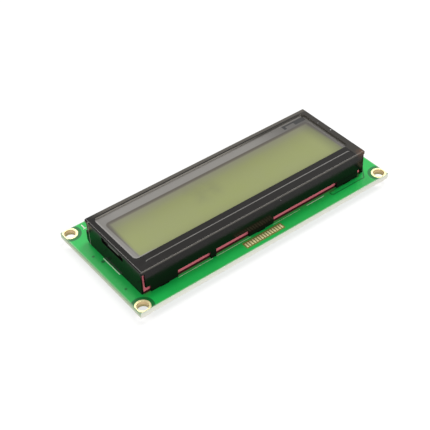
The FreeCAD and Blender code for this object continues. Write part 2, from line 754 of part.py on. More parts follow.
def make_contacts():
    """The row of gold lands on the board and the rubber contact strip that stands on it."""
    lands = []
    first = "bezel_shift_long - contact_pitch * (contact_count - 1) / 2"
    for number in range(int(size("contact_count"))):
        middle = f"{first} + {number} * contact_pitch"
        lands.append(box(f"contact_land_{number + 1}", f"{middle} - contact_width / 2",
                         f"{middle} + contact_width / 2", f"{STRIP_NEAR} + contact_inset",
                         f"{STRIP_FAR} - contact_inset", "board_thickness",
                         "board_thickness + pad_thickness"))
    lands = join("contact_lands", lands)
    strip = box("contact_strip", f"{GLASS_LEFT} + strip_end_margin",
                f"{GLASS_RIGHT} - strip_end_margin", STRIP_NEAR, STRIP_FAR,
                "board_thickness + pad_thickness", FRONT_GLASS_BASE)
    return [lands, strip]


def lead_place(side):
    """How far along Y the backlight's lead on one side stands."""
    return f"({LIGHT_MIDDLE} + {side} * lead_spacing / 2)"


def solder_cone(name, across, along):
    """A small cone of solder under the board, with flats in place of its round side."""
    rings = []
    for end, radius, height in (("tip", "joint_tip_radius", "-joint_height"),
                                ("foot", "joint_radius", "0")):
        ring = doc.addObject("Part::RegularPolygon", f"{name}_{end}")
        ring.Polygon = SMALL_ROUND_FLATS
        bind(ring, Circumradius=radius)
        place(ring, across, along, height)
        rings.append(ring)
    cone = doc.addObject("Part::Loft", name)
    cone.Sections = rings
    cone.Solid = True
    cone.Ruled = True
    return cone


def make_backlight():
    """The light box: board, lamps, white reflector frame, diffuser, leads and their joints."""
    board_top = "(board_thickness + light_board_thickness)"
    blank = box("backlight_blank", LIGHT_LEFT, LIGHT_RIGHT, LIGHT_NEAR, LIGHT_FAR,
                "board_thickness", board_top)
    holes = [box(f"lead_slot_{column}_{side}", f"{across} - light_board_slot / 2",
                 f"{across} + light_board_slot / 2", f"{lead_place(side)} - light_board_slot / 2",
                 f"{lead_place(side)} + light_board_slot / 2", "0", "2 * board_thickness")
             for column, across in enumerate(LEAD_COLUMNS, start=1) for side in LEAD_SIDES]
    board = cut("backlight_board", blank, join("lead_slots", holes))

    frame = new_body("reflector_frame")
    place(frame, "0", "0", board_top)
    height = f"({LIGHT_TOP} - {board_top})"
    outline = new_sketch(frame, "frame_outline")
    draw_rectangle(outline, LIGHT_LEFT, LIGHT_RIGHT, LIGHT_NEAR, LIGHT_FAR)
    pad(frame, outline, "frame_block", height)
    doc.recompute()
    cavity = new_sketch(frame, "frame_cavity", offset=height)
    draw_rectangle(cavity, f"{LIGHT_LEFT} + light_wall", f"{LIGHT_RIGHT} - light_wall",
                   f"{LIGHT_NEAR} + light_wall", f"{LIGHT_FAR} - light_wall")
    pocket(frame, cavity, "frame_cavity_cut", height, taper="-reflector_slope")
    rebate = new_sketch(frame, "diffuser_rebate", offset=height)
    draw_rectangle(rebate, f"{LIGHT_LEFT} + light_rebate", f"{LIGHT_RIGHT} - light_rebate",
                   f"{LIGHT_NEAR} + light_rebate", f"{LIGHT_FAR} - light_rebate")
    pocket(frame, rebate, "diffuser_rebate_cut", "diffuser_thickness")

    diffuser = box("backlight_diffuser", f"{LIGHT_LEFT} + light_rebate",
                   f"{LIGHT_RIGHT} - light_rebate", f"{LIGHT_NEAR} + light_rebate",
                   f"{LIGHT_FAR} - light_rebate", f"{LIGHT_TOP} - diffuser_thickness", LIGHT_TOP)

    lamps = []
    rows, columns = int(size("lamp_rows")), int(size("lamp_columns"))
    for row in range(rows):
        for column in range(columns):
            across = (f"({LIGHT_LEFT} + {LIGHT_RIGHT}) / 2"
                      f" + ({column} - (lamp_columns - 1) / 2) * lamp_column_spacing")
            along = f"{LIGHT_MIDDLE} + ({row} - (lamp_rows - 1) / 2) * lamp_row_spacing"
            lamps.append(box(f"lamp_{row + 1}_{column + 1}", f"{across} - lamp_size / 2",
                             f"{across} + lamp_size / 2", f"{along} - lamp_size / 2",
                             f"{along} + lamp_size / 2", board_top, f"{board_top} + lamp_height"))
    lamps = join("lamp_chips", lamps)

    pins, joints = [], []
    for column, across in enumerate(LEAD_COLUMNS, start=1):
        for side in LEAD_SIDES:
            along = lead_place(side)
            half = "lead_width / 2"
            pin = box(f"lead_{column}_{side}", f"{across} - {half}", f"{across} + {half}",
                      f"{along} - {half}", f"{along} + {half}", "-lead_reach", board_top)
            pins.append(pin)
            cone = solder_cone(f"joint_cone_{column}_{side}", across, along)
            joints.append(cut(f"joint_{column}_{side}", cone, pin))
    leads = join("backlight_leads", pins)
    solder = join("lead_solder_joints", joints)
    return [board, frame, diffuser, lamps, leads, solder]


def make_blob(name, across, diameter):
    """A dome of black resin over a bonded chip, on the rear face."""
    turns = [90 * band / DOME_BANDS for band in range(DOME_BANDS)]
    rim = [(f"{diameter} / 2 * cos({turn})", f"-blob_height * sin({turn})") for turn in turns]
    dome = turned(name, [("0", "0")] + rim + [("0", "-blob_height")])
    place(dome, across, "blob_shift_wide", "0")
    return dome


def make_chip_parts(kind, height, places):
    """Small surface parts: a body and two plated ends each, standing on their lands."""
    bodies, ends, lands = [], [], []
    seat = "(-pad_thickness)"
    for number, (across, along) in enumerate(places, start=1):
        half_width = "chip_width / 2"
        bodies.append(box(f"{kind}_{number}_body", f"{across} - chip_length / 2 + chip_end",
                          f"{across} + chip_length / 2 - chip_end", f"{along} - {half_width}",
                          f"{along} + {half_width}", f"{seat} - {height}", seat))
        for side in (-1, 1):
            inner = f"{across} + {side} * (chip_length / 2 - chip_end)"
            outer = f"{across} + {side} * chip_length / 2"
            beyond = f"{across} + {side} * (chip_length / 2 + land_overhang)"
            low, high = (outer, inner) if side < 0 else (inner, outer)
            ends.append(box(f"{kind}_{number}_end_{side}", low, high, f"{along} - {half_width}",
                            f"{along} + {half_width}", f"{seat} - {height}", seat))
            low, high = (beyond, inner) if side < 0 else (inner, beyond)
            lands.append(box(f"{kind}_{number}_land_{side}", low, high,
                             f"{along} - {half_width}", f"{along} + {half_width}", seat, "0"))
    return [join(f"{kind}_bodies", bodies), join(f"{kind}_end_caps", ends)], lands


def make_rear_components():
    """What the rear face carries: two resin domes, chip parts, their lands and jumpers."""
    controller = make_blob("controller_blob", "-blob_spacing / 2", "controller_blob_diameter")
    driver = make_blob("driver_blob", "blob_spacing / 2", "driver_blob_diameter")
    resistor_places = [(f"({number} - (resistor_count - 1) / 2) * resistor_pitch",
                        "(board_width / 2 - resistor_edge_gap)")
                       for number in range(int(size("resistor_count")))]
    capacitor_places = [("(board_length / 2 - capacitor_edge_gap)",
                         f"({number} - (capacitor_count - 1) / 2) * capacitor_pitch")
                        for number in range(int(size("capacitor_count")))]
    resistors, resistor_lands = make_chip_parts("resistor", "resistor_height", resistor_places)
    capacitors, capacitor_lands = make_chip_parts("capacitor", "capacitor_height",
                                                  capacitor_places)
    lands = join("solder_lands", resistor_lands + capacitor_lands)

    pads = []
    for number in range(int(size("jumper_count"))):
        middle = f"({number} - (jumper_count - 1) / 2) * (2 * jumper_pad + jumper_pitch)"
        for side in (-1, 1):
            inner = f"{middle} + {side} * jumper_gap / 2"
            outer = f"{middle} + {side} * (jumper_gap / 2 + jumper_pad)"
            low, high = (outer, inner) if side < 0 else (inner, outer)
            pads.append(box(f"jumper_{number + 1}_{side}", low, high, "jumper_row",
                            "jumper_row + jumper_pad", "-pad_thickness", "0"))
    jumpers = join("jumper_pads", pads)
    return [controller, driver] + resistors + capacitors + [lands, jumpers]


def export(pieces):
    """Check every object, then write one file for each piece."""
    doc.recompute()
    for item in doc.Objects:
        if "Invalid" in item.State or "Error" in item.State:
            raise RuntimeError(f"{item.Name}: {item.State}")
    os.makedirs("parts", exist_ok=True)
    for piece in pieces:
        shape = piece.Shape
        if shape.isNull() or not shape.isValid():
            raise RuntimeError(f"{piece.Label} has no valid shape")
    for piece in pieces:
        piece.Shape.exportStep(os.path.join("parts", f"{piece.Label}.step"))
        print(f"{piece.Label}: {len(piece.Shape.Solids)} solid, {piece.Shape.Volume:.2f} mm3")


pieces = [make_board()]
pieces += make_plated_holes()
pieces += [make_bezel()]
pieces += make_cell()
pieces += make_contacts()
pieces += make_backlight()
pieces += make_rear_components()
export(pieces)
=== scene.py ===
"""Looks of a character display module: its finishes, soft edges, prints, solder and resin."""

import json
import math

import bpy
from mathutils import Matrix, Vector

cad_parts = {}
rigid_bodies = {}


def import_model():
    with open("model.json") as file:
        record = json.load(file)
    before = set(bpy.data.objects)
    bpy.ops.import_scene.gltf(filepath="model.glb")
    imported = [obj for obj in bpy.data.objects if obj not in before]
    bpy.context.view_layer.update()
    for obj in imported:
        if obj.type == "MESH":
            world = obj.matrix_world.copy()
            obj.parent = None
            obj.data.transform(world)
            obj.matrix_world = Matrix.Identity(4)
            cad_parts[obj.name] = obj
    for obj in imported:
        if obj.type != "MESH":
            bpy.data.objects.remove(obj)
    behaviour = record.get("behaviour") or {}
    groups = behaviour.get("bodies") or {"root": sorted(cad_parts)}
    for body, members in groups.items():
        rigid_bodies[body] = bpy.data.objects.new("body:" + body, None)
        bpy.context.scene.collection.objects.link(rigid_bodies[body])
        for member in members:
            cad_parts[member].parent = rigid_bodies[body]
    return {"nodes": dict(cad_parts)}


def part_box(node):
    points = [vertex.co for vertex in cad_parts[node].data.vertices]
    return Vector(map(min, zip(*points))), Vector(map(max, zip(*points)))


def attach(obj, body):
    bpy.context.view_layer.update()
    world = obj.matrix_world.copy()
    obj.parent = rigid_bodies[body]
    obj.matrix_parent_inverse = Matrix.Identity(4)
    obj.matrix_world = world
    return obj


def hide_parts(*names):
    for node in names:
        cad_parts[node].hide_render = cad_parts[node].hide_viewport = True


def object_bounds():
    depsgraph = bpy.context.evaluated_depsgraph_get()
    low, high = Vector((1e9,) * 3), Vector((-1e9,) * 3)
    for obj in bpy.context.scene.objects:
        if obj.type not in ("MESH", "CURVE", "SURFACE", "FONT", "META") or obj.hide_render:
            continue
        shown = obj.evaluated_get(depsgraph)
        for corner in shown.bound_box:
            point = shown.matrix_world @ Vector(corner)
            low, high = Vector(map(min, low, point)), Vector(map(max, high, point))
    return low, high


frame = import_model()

bl_info = {
    "name": "Character Display Module Finishes",
    "version": (1, 0, 0),
    "blender": (4, 5, 0),
    "location": "View3D > Sidebar > Display Module",
    "description": "Dresses the packed display module and lights it on a pale floor",
    "category": "Object",
}

MM = 0.001
CAD_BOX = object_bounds()
BODY = "root"

# Places in millimetres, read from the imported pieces.
BOARD_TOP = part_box("circuit_board")[1][2] / MM
BOARD_HALF = [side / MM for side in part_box("circuit_board")[1][:2]]
BEZEL_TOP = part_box("bezel")[1][2] / MM
BEZEL_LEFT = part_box("bezel")[0][0] / MM
HEADER_PITCH = 2.54
HEADER_PAD_RADIUS = 0.9
FIRST_HEADER_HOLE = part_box("header_hole_rings")[0][0] / MM + HEADER_PAD_RADIUS

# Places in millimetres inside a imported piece: the bezel's long walls, without their tabs,
# its window and stamped groove, and one of the four fixing holes.
NEAR_WALL = -13.675
FAR_WALL = 11.175
WINDOW_CENTRE = (-0.6, 0.25)
WINDOW_FAR = 9.5
GROOVE_NEAR = NEAR_WALL + 1.1
GROOVE_FAR = GROOVE_NEAR + 1.8
GROOVE_DEPTH = 0.15
FIXING_HOLE = (38.25, 16.25)

# The floor lies just under the tabs' ends, so that no two faces share a plane.
FLOOR_HEIGHT = CAD_BOX[0][2] - 0.01 * MM
FLOOR_SPAN = 4.0


def linear(code):
    """Turns an sRGB hex colour into linear red, green and blue."""
    parts = [int(code[place:place + 2], 16) / 255 for place in (1, 3, 5)]
    return tuple(
        part / 12.92 if part <= 0.04045 else ((part + 0.055) / 1.055) ** 2.4
        for part in parts
    )


def colour(label, words, code):
    """A colour setting with an sRGB hex default."""
    return bpy.props.FloatVectorProperty(
        name=label, description=words, subtype="COLOR", size=3, min=0, max=1,
        default=linear(code),
    )


def size(label, words, millimetres):
    """A length setting with a default in millimetres."""
    return bpy.props.FloatProperty(
        name=label, description=words, unit="LENGTH", subtype="DISTANCE",
        precision=6, default=millimetres * MM,
    )


class DisplayFinishes(bpy.types.PropertyGroup):
    """Colours of the module's finishes."""

    mask_green: colour("Solder mask", "Green mask over copper", "#16BC50")
    mask_dark: colour("Mask over laminate", "Green mask where no copper lies under it", "#05702F")
    laminate: colour("Laminate", "Cut glass-fibre laminate", "#FBFAEE")
    bare_board: colour("Bare board", "Laminate without copper or mask", "#7C7A38")
    # Painted shade: the board under the bezel is painted dark in place of the shadow there.
    board_shade_under_bezel: colour("Hidden board", "Bare board in the dark under the bezel", "#241F14")
    # Painted shade: the board's ends get a darker, greener copy of the laminate.
    laminate_end_shade: colour("Laminate end", "Laminate cut across its cloth", "#E6F0D0")
    mask_stain: colour("Stained edge", "Green of the mask shining down the cut edge", "#7FC07A")
    ink: colour("Legend ink", "White ink printed on the board", "#E2F0DC")
    gold: colour("Gold plate", "Immersion gold on copper", "#EFE6AE")
    # Painted shade down the holes' walls: lighter below the mouth, darker deep down.
    shaded_barrel_gold: colour("Barrel gold", "Thinner gold down the holes' walls", "#E3C99B")
    barrel_shade: colour("Barrel shade", "Tarnished gold deep in the holes", "#B0A36E")
    enamel: colour("Enamel", "Black stoving enamel on the bezel", "#0C0A0B")
    # Painted sheen: lighter grey bands on the enamel's far and right borders and right lip.
    enamel_sheen: colour("Enamel haze", "Enamel rubbed dull along the far border", "#56524B")
    # Painted highlight: bright lines along the near fold and the window's far lip.
    edge_highlight: colour("Cut edge", "Rubbed far edge of the window and near fold", "#B4AFA6")
    # Painted highlight: a warm brown glow on the near right bend.
    corner_warm_highlight: colour("Worn enamel", "Enamel rubbed through to brown on a bend", "#8A5A3C")
    film_border: colour("Film border", "Polariser outside the seal line", "#7C7974")
    film_field: colour("Film field", "Polariser over the liquid crystal", "#969F58")
    # Used for greyer clouds in the field and for painted shade at its far side.
    film_cloud_and_far_shade: colour("Film cloud", "Greyer patches in the field", "#908F7C")
    # Painted shade at the film's right end, far right strip, far left corner and near side, and its
    # greyer cloud.
    film_shade: colour("Film shade", "Darker right end of the film", "#3F3C38")
    end_mark: colour("End mark", "Black marks at the film's far right corner", "#0B0A09")
    # Painted reflection of the bezel's window edge on the film.
    film_edge_reflection: colour("Film rim", "Pale cut edge of the film", "#918E8A")
    seal_line: colour("Seal line", "Brown edge of the cell's seal", "#453D30")
    rubber: colour("Rubber", "Pink silicone rubber", "#D9707E")
    resin: colour("Potting resin", "Black epoxy over the chips", "#0C0C0D")
    tin: colour("Solder", "Tin solder", "#C9CACB")
    ceramic: colour("Ceramic", "Fired capacitor ceramic", "#94714F")
    glaze: colour("Glaze", "Black glaze on the resistors", "#151517")


class DisplaySizes(bpy.types.PropertyGroup):
    """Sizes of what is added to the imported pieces."""

    bezel_edge: size("Bezel edge", "Rounding of the bezel's cut edges", 0.07)
    groove_floor: bpy.props.FloatProperty(
        name="Groove floor", description="Flat share of the stamped groove's width",
        subtype="FACTOR", min=0, max=1, default=0.88)
    groove_lift: size("Groove lift", "Rise of the stamped groove's soft floor", 0.1)
    chip_edge: size("Chip edge", "Rounding of the chip parts' edges", 0.06)
    ink_height: size("Ink height", "Thickness of the printed legend", 0.02)
    pad_height: size("Pad height", "Thickness of a bare gold pad", 0.04)


class DisplayStage(bpy.types.PropertyGroup):
    """Camera and light."""

    azimuth: bpy.props.FloatProperty(
        name="Azimuth", description="Turn of the camera about the module", unit="ROTATION",
        subtype="ANGLE", default=math.radians(-35.777))
    elevation: bpy.props.FloatProperty(
        name="Elevation", description="Height of the camera above the board", unit="ROTATION",
        subtype="ANGLE", default=math.radians(41.6))
    roll: bpy.props.FloatProperty(
        name="Roll", description="Tilt of the camera", unit="ROTATION",
        subtype="ANGLE", default=math.radians(-2.696))
    lens: bpy.props.FloatProperty(
        name="Lens", description="Focal length on a 36 mm sensor", unit="CAMERA", default=86.63)
    distance: size("Distance", "Camera to the point that it looks at", 262.064)
    target: bpy.props.FloatVectorProperty(
        name="Target", description="Point that the camera looks at", unit="LENGTH",
        subtype="TRANSLATION", default=(-7.205 * MM, -3.848 * MM, 4.0 * MM))
    sky: bpy.props.FloatProperty(
        name="Sky", description="Light that comes evenly from all round, where 1 is full light",
        subtype="FACTOR", min=0, max=1, default=0.34)


def deselect():
    """Leaves edit mode and deselects every object."""
    if bpy.context.object and bpy.context.object.mode != "OBJECT":
        bpy.ops.object.mode_set(mode="OBJECT")
    bpy.ops.object.select_all(action="DESELECT")


def pick(*pieces):
    """Selects only these pieces and makes the first one active."""
    deselect()
    for piece in pieces:
        piece.select_set(True)
    bpy.context.view_layer.objects.active = pieces[0]


def finish_piece(piece, material, nodes=()):
    """Puts a finished piece into the frame: its place in its mesh, its finish and what it stands for."""
    pick(piece)
    bpy.ops.object.transform_apply(location=True, rotation=True, scale=True)
    piece.data.materials.clear()
    piece.data.materials.append(material)
    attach(piece, BODY)
    if nodes:
        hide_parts(*nodes)


def apply_modifier(piece, kind, **settings):
    """Adds a modifier with these settings and applies it."""
    pick(piece)
    modifier = piece.modifiers.new(kind, kind)
    for name, value in settings.items():
        setattr(modifier, name, value)
    bpy.ops.object.modifier_apply(modifier=modifier.name)


def smooth(piece, sharper_than=math.radians(40)):
    """Shades a piece smooth, except at sharp edges, and keeps its broad faces flat."""
    pick(piece)
    bpy.ops.object.shade_smooth_by_angle(angle=sharper_than)
    apply_modifier(piece, "WEIGHTED_NORMAL", keep_sharp=True)


def round_edges(piece, width, segments=2, sharper_than=math.radians(35)):
    """Rounds a piece's sharp edges and shades it smooth between them."""
    apply_modifier(piece, "BEVEL", width=width, segments=segments, limit_method="ANGLE",
                   angle_limit=sharper_than, use_clamp_overlap=True)
    smooth(piece)


def merged_copy(node, name):
    """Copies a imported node's mesh and joins its loose triangles into whole flat faces."""
    pick(frame["nodes"][node])
    bpy.ops.object.duplicate()
    piece = bpy.context.object
    bpy.ops.object.parent_clear(type="CLEAR_KEEP_TRANSFORM")
    piece.name = name
    bpy.ops.object.mode_set(mode="EDIT")
    bpy.ops.mesh.select_all(action="SELECT")
    bpy.ops.mesh.remove_doubles(threshold=0.001 * MM)
    bpy.ops.mesh.dissolve_limited(angle_limit=math.radians(0.5))
    bpy.ops.object.mode_set(mode="OBJECT")
    return piece


def dress(nodes, material):
    """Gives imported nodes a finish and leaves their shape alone."""
    for node in nodes:
        mesh = frame["nodes"][node].data
        mesh.materials.clear()
        mesh.materials.append(material)


def add_plate(name, low, high, edge):
    """Adds a plate between two corners, in millimetres, and rounds its edges."""
    deselect()
    middle = [(a + b) / 2 * MM for a, b in zip(low, high)]
    extent = [(b - a) * MM for a, b in zip(low, high)]
    bpy.ops.mesh.primitive_cube_add(size=1, location=middle, scale=extent)
    piece = bpy.context.object
    piece.name = name
    bpy.ops.object.transform_apply(location=True, rotation=True, scale=True)
    apply_modifier(piece, "BEVEL", width=edge, segments=2, limit_method="ANGLE",
                   use_clamp_overlap=True)
    return piece


def add_turned(name, centre, profile, sides=32, closed=False):
    """Adds a piece turned about an upright axis: one extruded ring for each radius and height, in mm."""
    deselect()
    radius, height = profile[0]
    bpy.ops.mesh.primitive_circle_add(
        vertices=sides, radius=radius * MM, fill_type="NOTHING",
        location=(centre[0] * MM, centre[1] * MM, height * MM))
    piece = bpy.context.object
    piece.name = name
    bpy.ops.object.mode_set(mode="EDIT")
    bpy.ops.mesh.select_all(action="SELECT")
    for next_radius, next_height in profile[1:]:
        bpy.ops.mesh.extrude_edges_move(
            TRANSFORM_OT_translate={"value": (0, 0, (next_height - height) * MM)})
        share = next_radius / radius
        bpy.ops.transform.resize(
            value=(share, share, 1),
            center_override=(centre[0] * MM, centre[1] * MM, next_height * MM))
        radius, height = next_radius, next_height
    if closed:
        bpy.ops.mesh.select_all(action="SELECT")
        bpy.ops.mesh.select_non_manifold()
        bpy.ops.mesh.bridge_edge_loops()
    else:
        bpy.ops.mesh.edge_face_add()
    bpy.ops.mesh.select_all(action="SELECT")
    bpy.ops.mesh.normals_make_consistent(inside=False)
    bpy.ops.object.mode_set(mode="OBJECT")
    return piece


def repeat(piece, steps):
    """Copies a modelled piece by each of these steps, in millimetres, and joins the copies to it."""
    copies = [piece]
    for step in steps:
        pick(piece)
        bpy.ops.object.duplicate()
        bpy.ops.transform.translate(value=[length * MM for length in step])
        copies.append(bpy.context.object)
    pick(*copies)
    bpy.ops.object.join()
    return piece


def add_node(tree, kind, inputs=None, **settings):
    """Adds a shader node, sets its attributes, and fills or links its inputs by name or number."""
    node = tree.nodes.new(kind)
    for name, value in settings.items():
        setattr(node, name, value)
    for key, value in (inputs or {}).items():
        if isinstance(key, int):
            socket = node.inputs[key]
        else:
            socket = next(place for place in node.inputs if place.enabled and place.name == key)
        if isinstance(value, bpy.types.NodeSocket):
            tree.links.new(value, socket)
        elif socket.type == "RGBA":
            socket.default_value = (*value, 1)
        else:
            socket.default_value = value
    return node


def start_material(name, base, roughness, metallic=0.0, **sockets):
    """Starts a material on one Principled shader with its even values set on the shader itself."""
    material = bpy.data.materials.new(name)
    material.use_nodes = True
    tree = material.node_tree
    shader = tree.nodes["Principled BSDF"]
    shader.inputs["Base Color"].default_value = (*base, 1)
    shader.inputs["Roughness"].default_value = roughness
    shader.inputs["Metallic"].default_value = metallic
    for label, value in sockets.items():
        shader.inputs[label.replace("_", " ")].default_value = value
    return material, tree, shader


def points_in_mm(tree):
    """Object coordinates in millimetres."""
    place = add_node(tree, "ShaderNodeTexCoord").outputs["Object"]
    return add_node(tree, "ShaderNodeVectorMath", {0: place, "Scale": 1 / MM},
                    operation="SCALE").outputs[0]


def mottle(tree, points, grain, low, high, detail=3.0):
    """Soft noise with grains of this size in millimetres, from low to high."""
    noise = add_node(tree, "ShaderNodeTexNoise",
                     {"Vector": points, "Scale": 1 / grain, "Detail": detail})
    return add_node(tree, "ShaderNodeMapRange",
                    {"Value": noise.outputs[0], "From Min": 0.3, "From Max": 0.7,
                     "To Min": low, "To Max": high}).outputs[0]


def plan_distance(tree, points, centre, half=(0.0, 0.0), radius=0.0):
    """Distance in plan, in millimetres, outside a rounded rectangle or circle; -radius deep inside."""
    offset = add_node(tree, "ShaderNodeVectorMath", {0: points, 1: (*centre, 0)},
                      operation="SUBTRACT").outputs[0]
    level = add_node(tree, "ShaderNodeVectorMath", {0: offset, 1: (1, 1, 0)},
                     operation="MULTIPLY").outputs[0]
    folded = add_node(tree, "ShaderNodeVectorMath", {0: level},
                      operation="ABSOLUTE").outputs[0]
    reach = (half[0] - radius if half[0] else 0, half[1] - radius if half[1] else 0, 0)
    beyond = add_node(tree, "ShaderNodeVectorMath", {0: folded, 1: reach},
                      operation="SUBTRACT").outputs[0]
    outside = add_node(tree, "ShaderNodeVectorMath", {0: beyond, 1: (0, 0, 0)},
                       operation="MAXIMUM").outputs[0]
    span = add_node(tree, "ShaderNodeVectorMath", {0: outside},
                    operation="LENGTH").outputs["Value"]
    return add_node(tree, "ShaderNodeMath", {0: span, 1: radius},
                    operation="SUBTRACT").outputs[0]


def fade(tree, value, start, end):
    """Runs smoothly from 0 where the value is start to 1 where it is end."""
    return add_node(tree, "ShaderNodeMapRange",
                    {"Value": value, "From Min": start, "From Max": end},
                    interpolation_type="SMOOTHSTEP").outputs[0]


def layered(tree, ground, layers):
    """Lays colours over a ground, each through masks from 0 to 1 that are multiplied together."""
    shade = ground
    for masks, over in layers:
        factor = masks[0]
        for mask in masks[1:]:
            factor = add_node(tree, "ShaderNodeMath", {0: factor, 1: mask},
                              operation="MULTIPLY").outputs[0]
        shade = add_node(tree, "ShaderNodeMix", {"Factor": factor, "A": shade, "B": over},
                         data_type="RGBA").outputs[2]
    return shade


def traces(tree, parts):
    """Dark gaps either side of the rear face's copper tracks, which lie 2.04 mm apart."""
    half_pitch = HEADER_PITCH / 2
    track_pitch = 2.04
    half_track = 0.35
    half_gap = 0.1
    start = add_node(tree, "ShaderNodeMath", {0: parts["X"], 1: half_pitch - FIRST_HEADER_HOLE},
                     operation="ADD").outputs[0]
    turn = add_node(tree, "ShaderNodeMath",
                    {0: start, 1: HEADER_PITCH, 2: HEADER_PITCH - track_pitch},
                    operation="WRAP").outputs[0]
    offset = add_node(tree, "ShaderNodeMath", {0: turn, 1: half_pitch},
                      operation="SUBTRACT").outputs[0]
    away = add_node(tree, "ShaderNodeMath", {0: offset}, operation="ABSOLUTE").outputs[0]
    return add_node(tree, "ShaderNodeMath", {0: away, 1: half_track, 2: half_gap},
                    operation="COMPARE").outputs[0]


def board_outlines(tree, points, finishes):
    """Layers of the board's plan: darker rings without copper, and a rim worn pale."""
    bare_ring = 3.0
    board_corner = 1.0
    rim_width = 0.45
    rim_strength = 0.25
    # The four fixing holes are one hole when the plan is folded about both centre lines.
    folded = add_node(tree, "ShaderNodeVectorMath", {0: points},
                      operation="ABSOLUTE").outputs[0]
    ring = plan_distance(tree, folded, FIXING_HOLE, radius=bare_ring)
    rim = plan_distance(tree, points, (0, 0), BOARD_HALF, board_corner)
    return [((fade(tree, ring, 0.08, -0.12),), finishes.mask_dark),
            ((fade(tree, rim, -rim_width, 0.05), rim_strength), finishes.laminate)]


def front_marks(tree, points, front, finishes):
    """Layers of the front face: bare laminate, painted shade under the bezel, a track round the near
    right corner, and vias.
    """
    pad_window = plan_distance(tree, points, (-0.9, -15.65), (6.2, 1.15), 0.3)
    # The board inside the bezel's outline is painted dark: painted shade under the bezel.
    bezel_inside = plan_distance(tree, points, (-0.53, -1.25), (35.25, 12.0), 0.4)
    layers = [((fade(tree, pad_window, 0.1, -0.1), front), finishes.bare_board),
              ((fade(tree, bezel_inside, 0.25, -0.15), front), finishes.board_shade_under_bezel)]

    # Gaps in the copper show as dark lines along the track's two arms.
    elbow = (35.15, -12.34)
    arm_turn = math.radians(-52.4)
    arm_corner = 0.5
    line_width = 0.24
    slanted = add_node(tree, "ShaderNodeVectorRotate",
                       {"Vector": points, "Center": (*elbow, 0.0), "Angle": arm_turn},
                       rotation_type="Z_AXIS").outputs[0]
    long_arm = plan_distance(tree, points, (28.3, -14.43), (5.55, 0.68), arm_corner)
    short_arm = plan_distance(tree, slanted, elbow, (3.3, 0.73), arm_corner)
    track = add_node(tree, "ShaderNodeMath", {0: long_arm, 1: short_arm},
                     operation="MINIMUM").outputs[0]
    gap = add_node(tree, "ShaderNodeMath", {0: track}, operation="ABSOLUTE").outputs[0]
    layers.append(((fade(tree, gap, line_width, line_width / 3), front), finishes.mask_dark))

    vias = (((-38.2, 5.35), 0.34), ((-37.25, 2.3), 0.5), ((-38.2, -9.1), 0.34))
    for place, radius in vias:
        via = plan_distance(tree, points, place, radius=radius)
        layers.append(((fade(tree, via, 0.15, -0.15), front), finishes.mask_dark))
    return layers


def cut_laminate(tree, parts, normal, upright, finishes):
    """Layers of the board's cut edge: pale glass cloth, stained green from the mask down, its ends
    painted darker as shade.
    """
    side = add_node(tree, "ShaderNodeSeparateXYZ", {"Vector": normal}).outputs["X"]
    end = add_node(tree, "ShaderNodeMath", {0: side}, operation="ABSOLUTE").outputs[0]
    edge = add_node(tree, "ShaderNodeMix", {"Factor": fade(tree, end, 0.4, 0.8),
                                           "A": finishes.laminate, "B": finishes.laminate_end_shade},
                    data_type="RGBA").outputs[2]
    # The green stain is the mask's own; its stronger reach on the ends is painted shade.
    long_edge_stain = 0.2
    reach = add_node(tree, "ShaderNodeMath",
                     {0: end, 1: 1 - long_edge_stain, 2: long_edge_stain},
                     operation="MULTIPLY_ADD").outputs[0]
    return [((upright,), edge),
            ((upright, reach, fade(tree, parts["Z"], 0.3, BOARD_TOP)), finishes.mask_stain)]


def solder_mask(finishes):
    """Liquid photo-imaged solder mask on glass-fibre laminate: glossy green, pale where it was cut."""
    material, tree, shader = start_material("solder_mask_laminate", finishes.mask_green, 0.3,
                                            IOR=1.42)
    points = points_in_mm(tree)
    parts = add_node(tree, "ShaderNodeSeparateXYZ", {"Vector": points}).outputs
    normal = add_node(tree, "ShaderNodeNewGeometry").outputs["True Normal"]
    lift = add_node(tree, "ShaderNodeSeparateXYZ", {"Vector": normal}).outputs["Z"]
    steep = 0.5
    upright = add_node(tree, "ShaderNodeMath", {0: lift, 1: 0.0, 2: steep},
                       operation="COMPARE").outputs[0]
    front = add_node(tree, "ShaderNodeMath", {0: lift, 1: steep},
                     operation="GREATER_THAN").outputs[0]
    rear = add_node(tree, "ShaderNodeMath", {0: lift, 1: -steep},
                    operation="LESS_THAN").outputs[0]
    fan_out = plan_distance(tree, points, (-13.0, 11.2), (20.3, 3.1), 0.4)
    # Cloudy patches of about 7 mm, as the mask's thickness varies.
    layers = [((mottle(tree, points, 7.0, 0.0, 0.16),), finishes.mask_dark)]
    layers += board_outlines(tree, points, finishes)
    layers += front_marks(tree, points, front, finishes)
    layers.append(((traces(tree, parts), fade(tree, fan_out, 0.02, -0.02), rear),
                   finishes.mask_dark))
    layers += cut_laminate(tree, parts, normal, upright, finishes)
    tree.links.new(layered(tree, finishes.mask_green, layers), shader.inputs["Base Color"])
    # The cured mask is rippled over the glass cloth, whose threads lie about 0.8 mm apart.
    ripple = mottle(tree, points, 0.8, 0.0, 1.0)
    bump = add_node(tree, "ShaderNodeBump",
                    {"Height": ripple, "Strength": 0.3, "Distance": 0.01 * MM})
    tree.links.new(bump.outputs[0], shader.inputs["Normal"])
    return material


def legend_ink(finishes):
    """Epoxy legend ink, screen printed: flat off-white."""
    return start_material("legend_ink", finishes.ink, 0.6)[0]


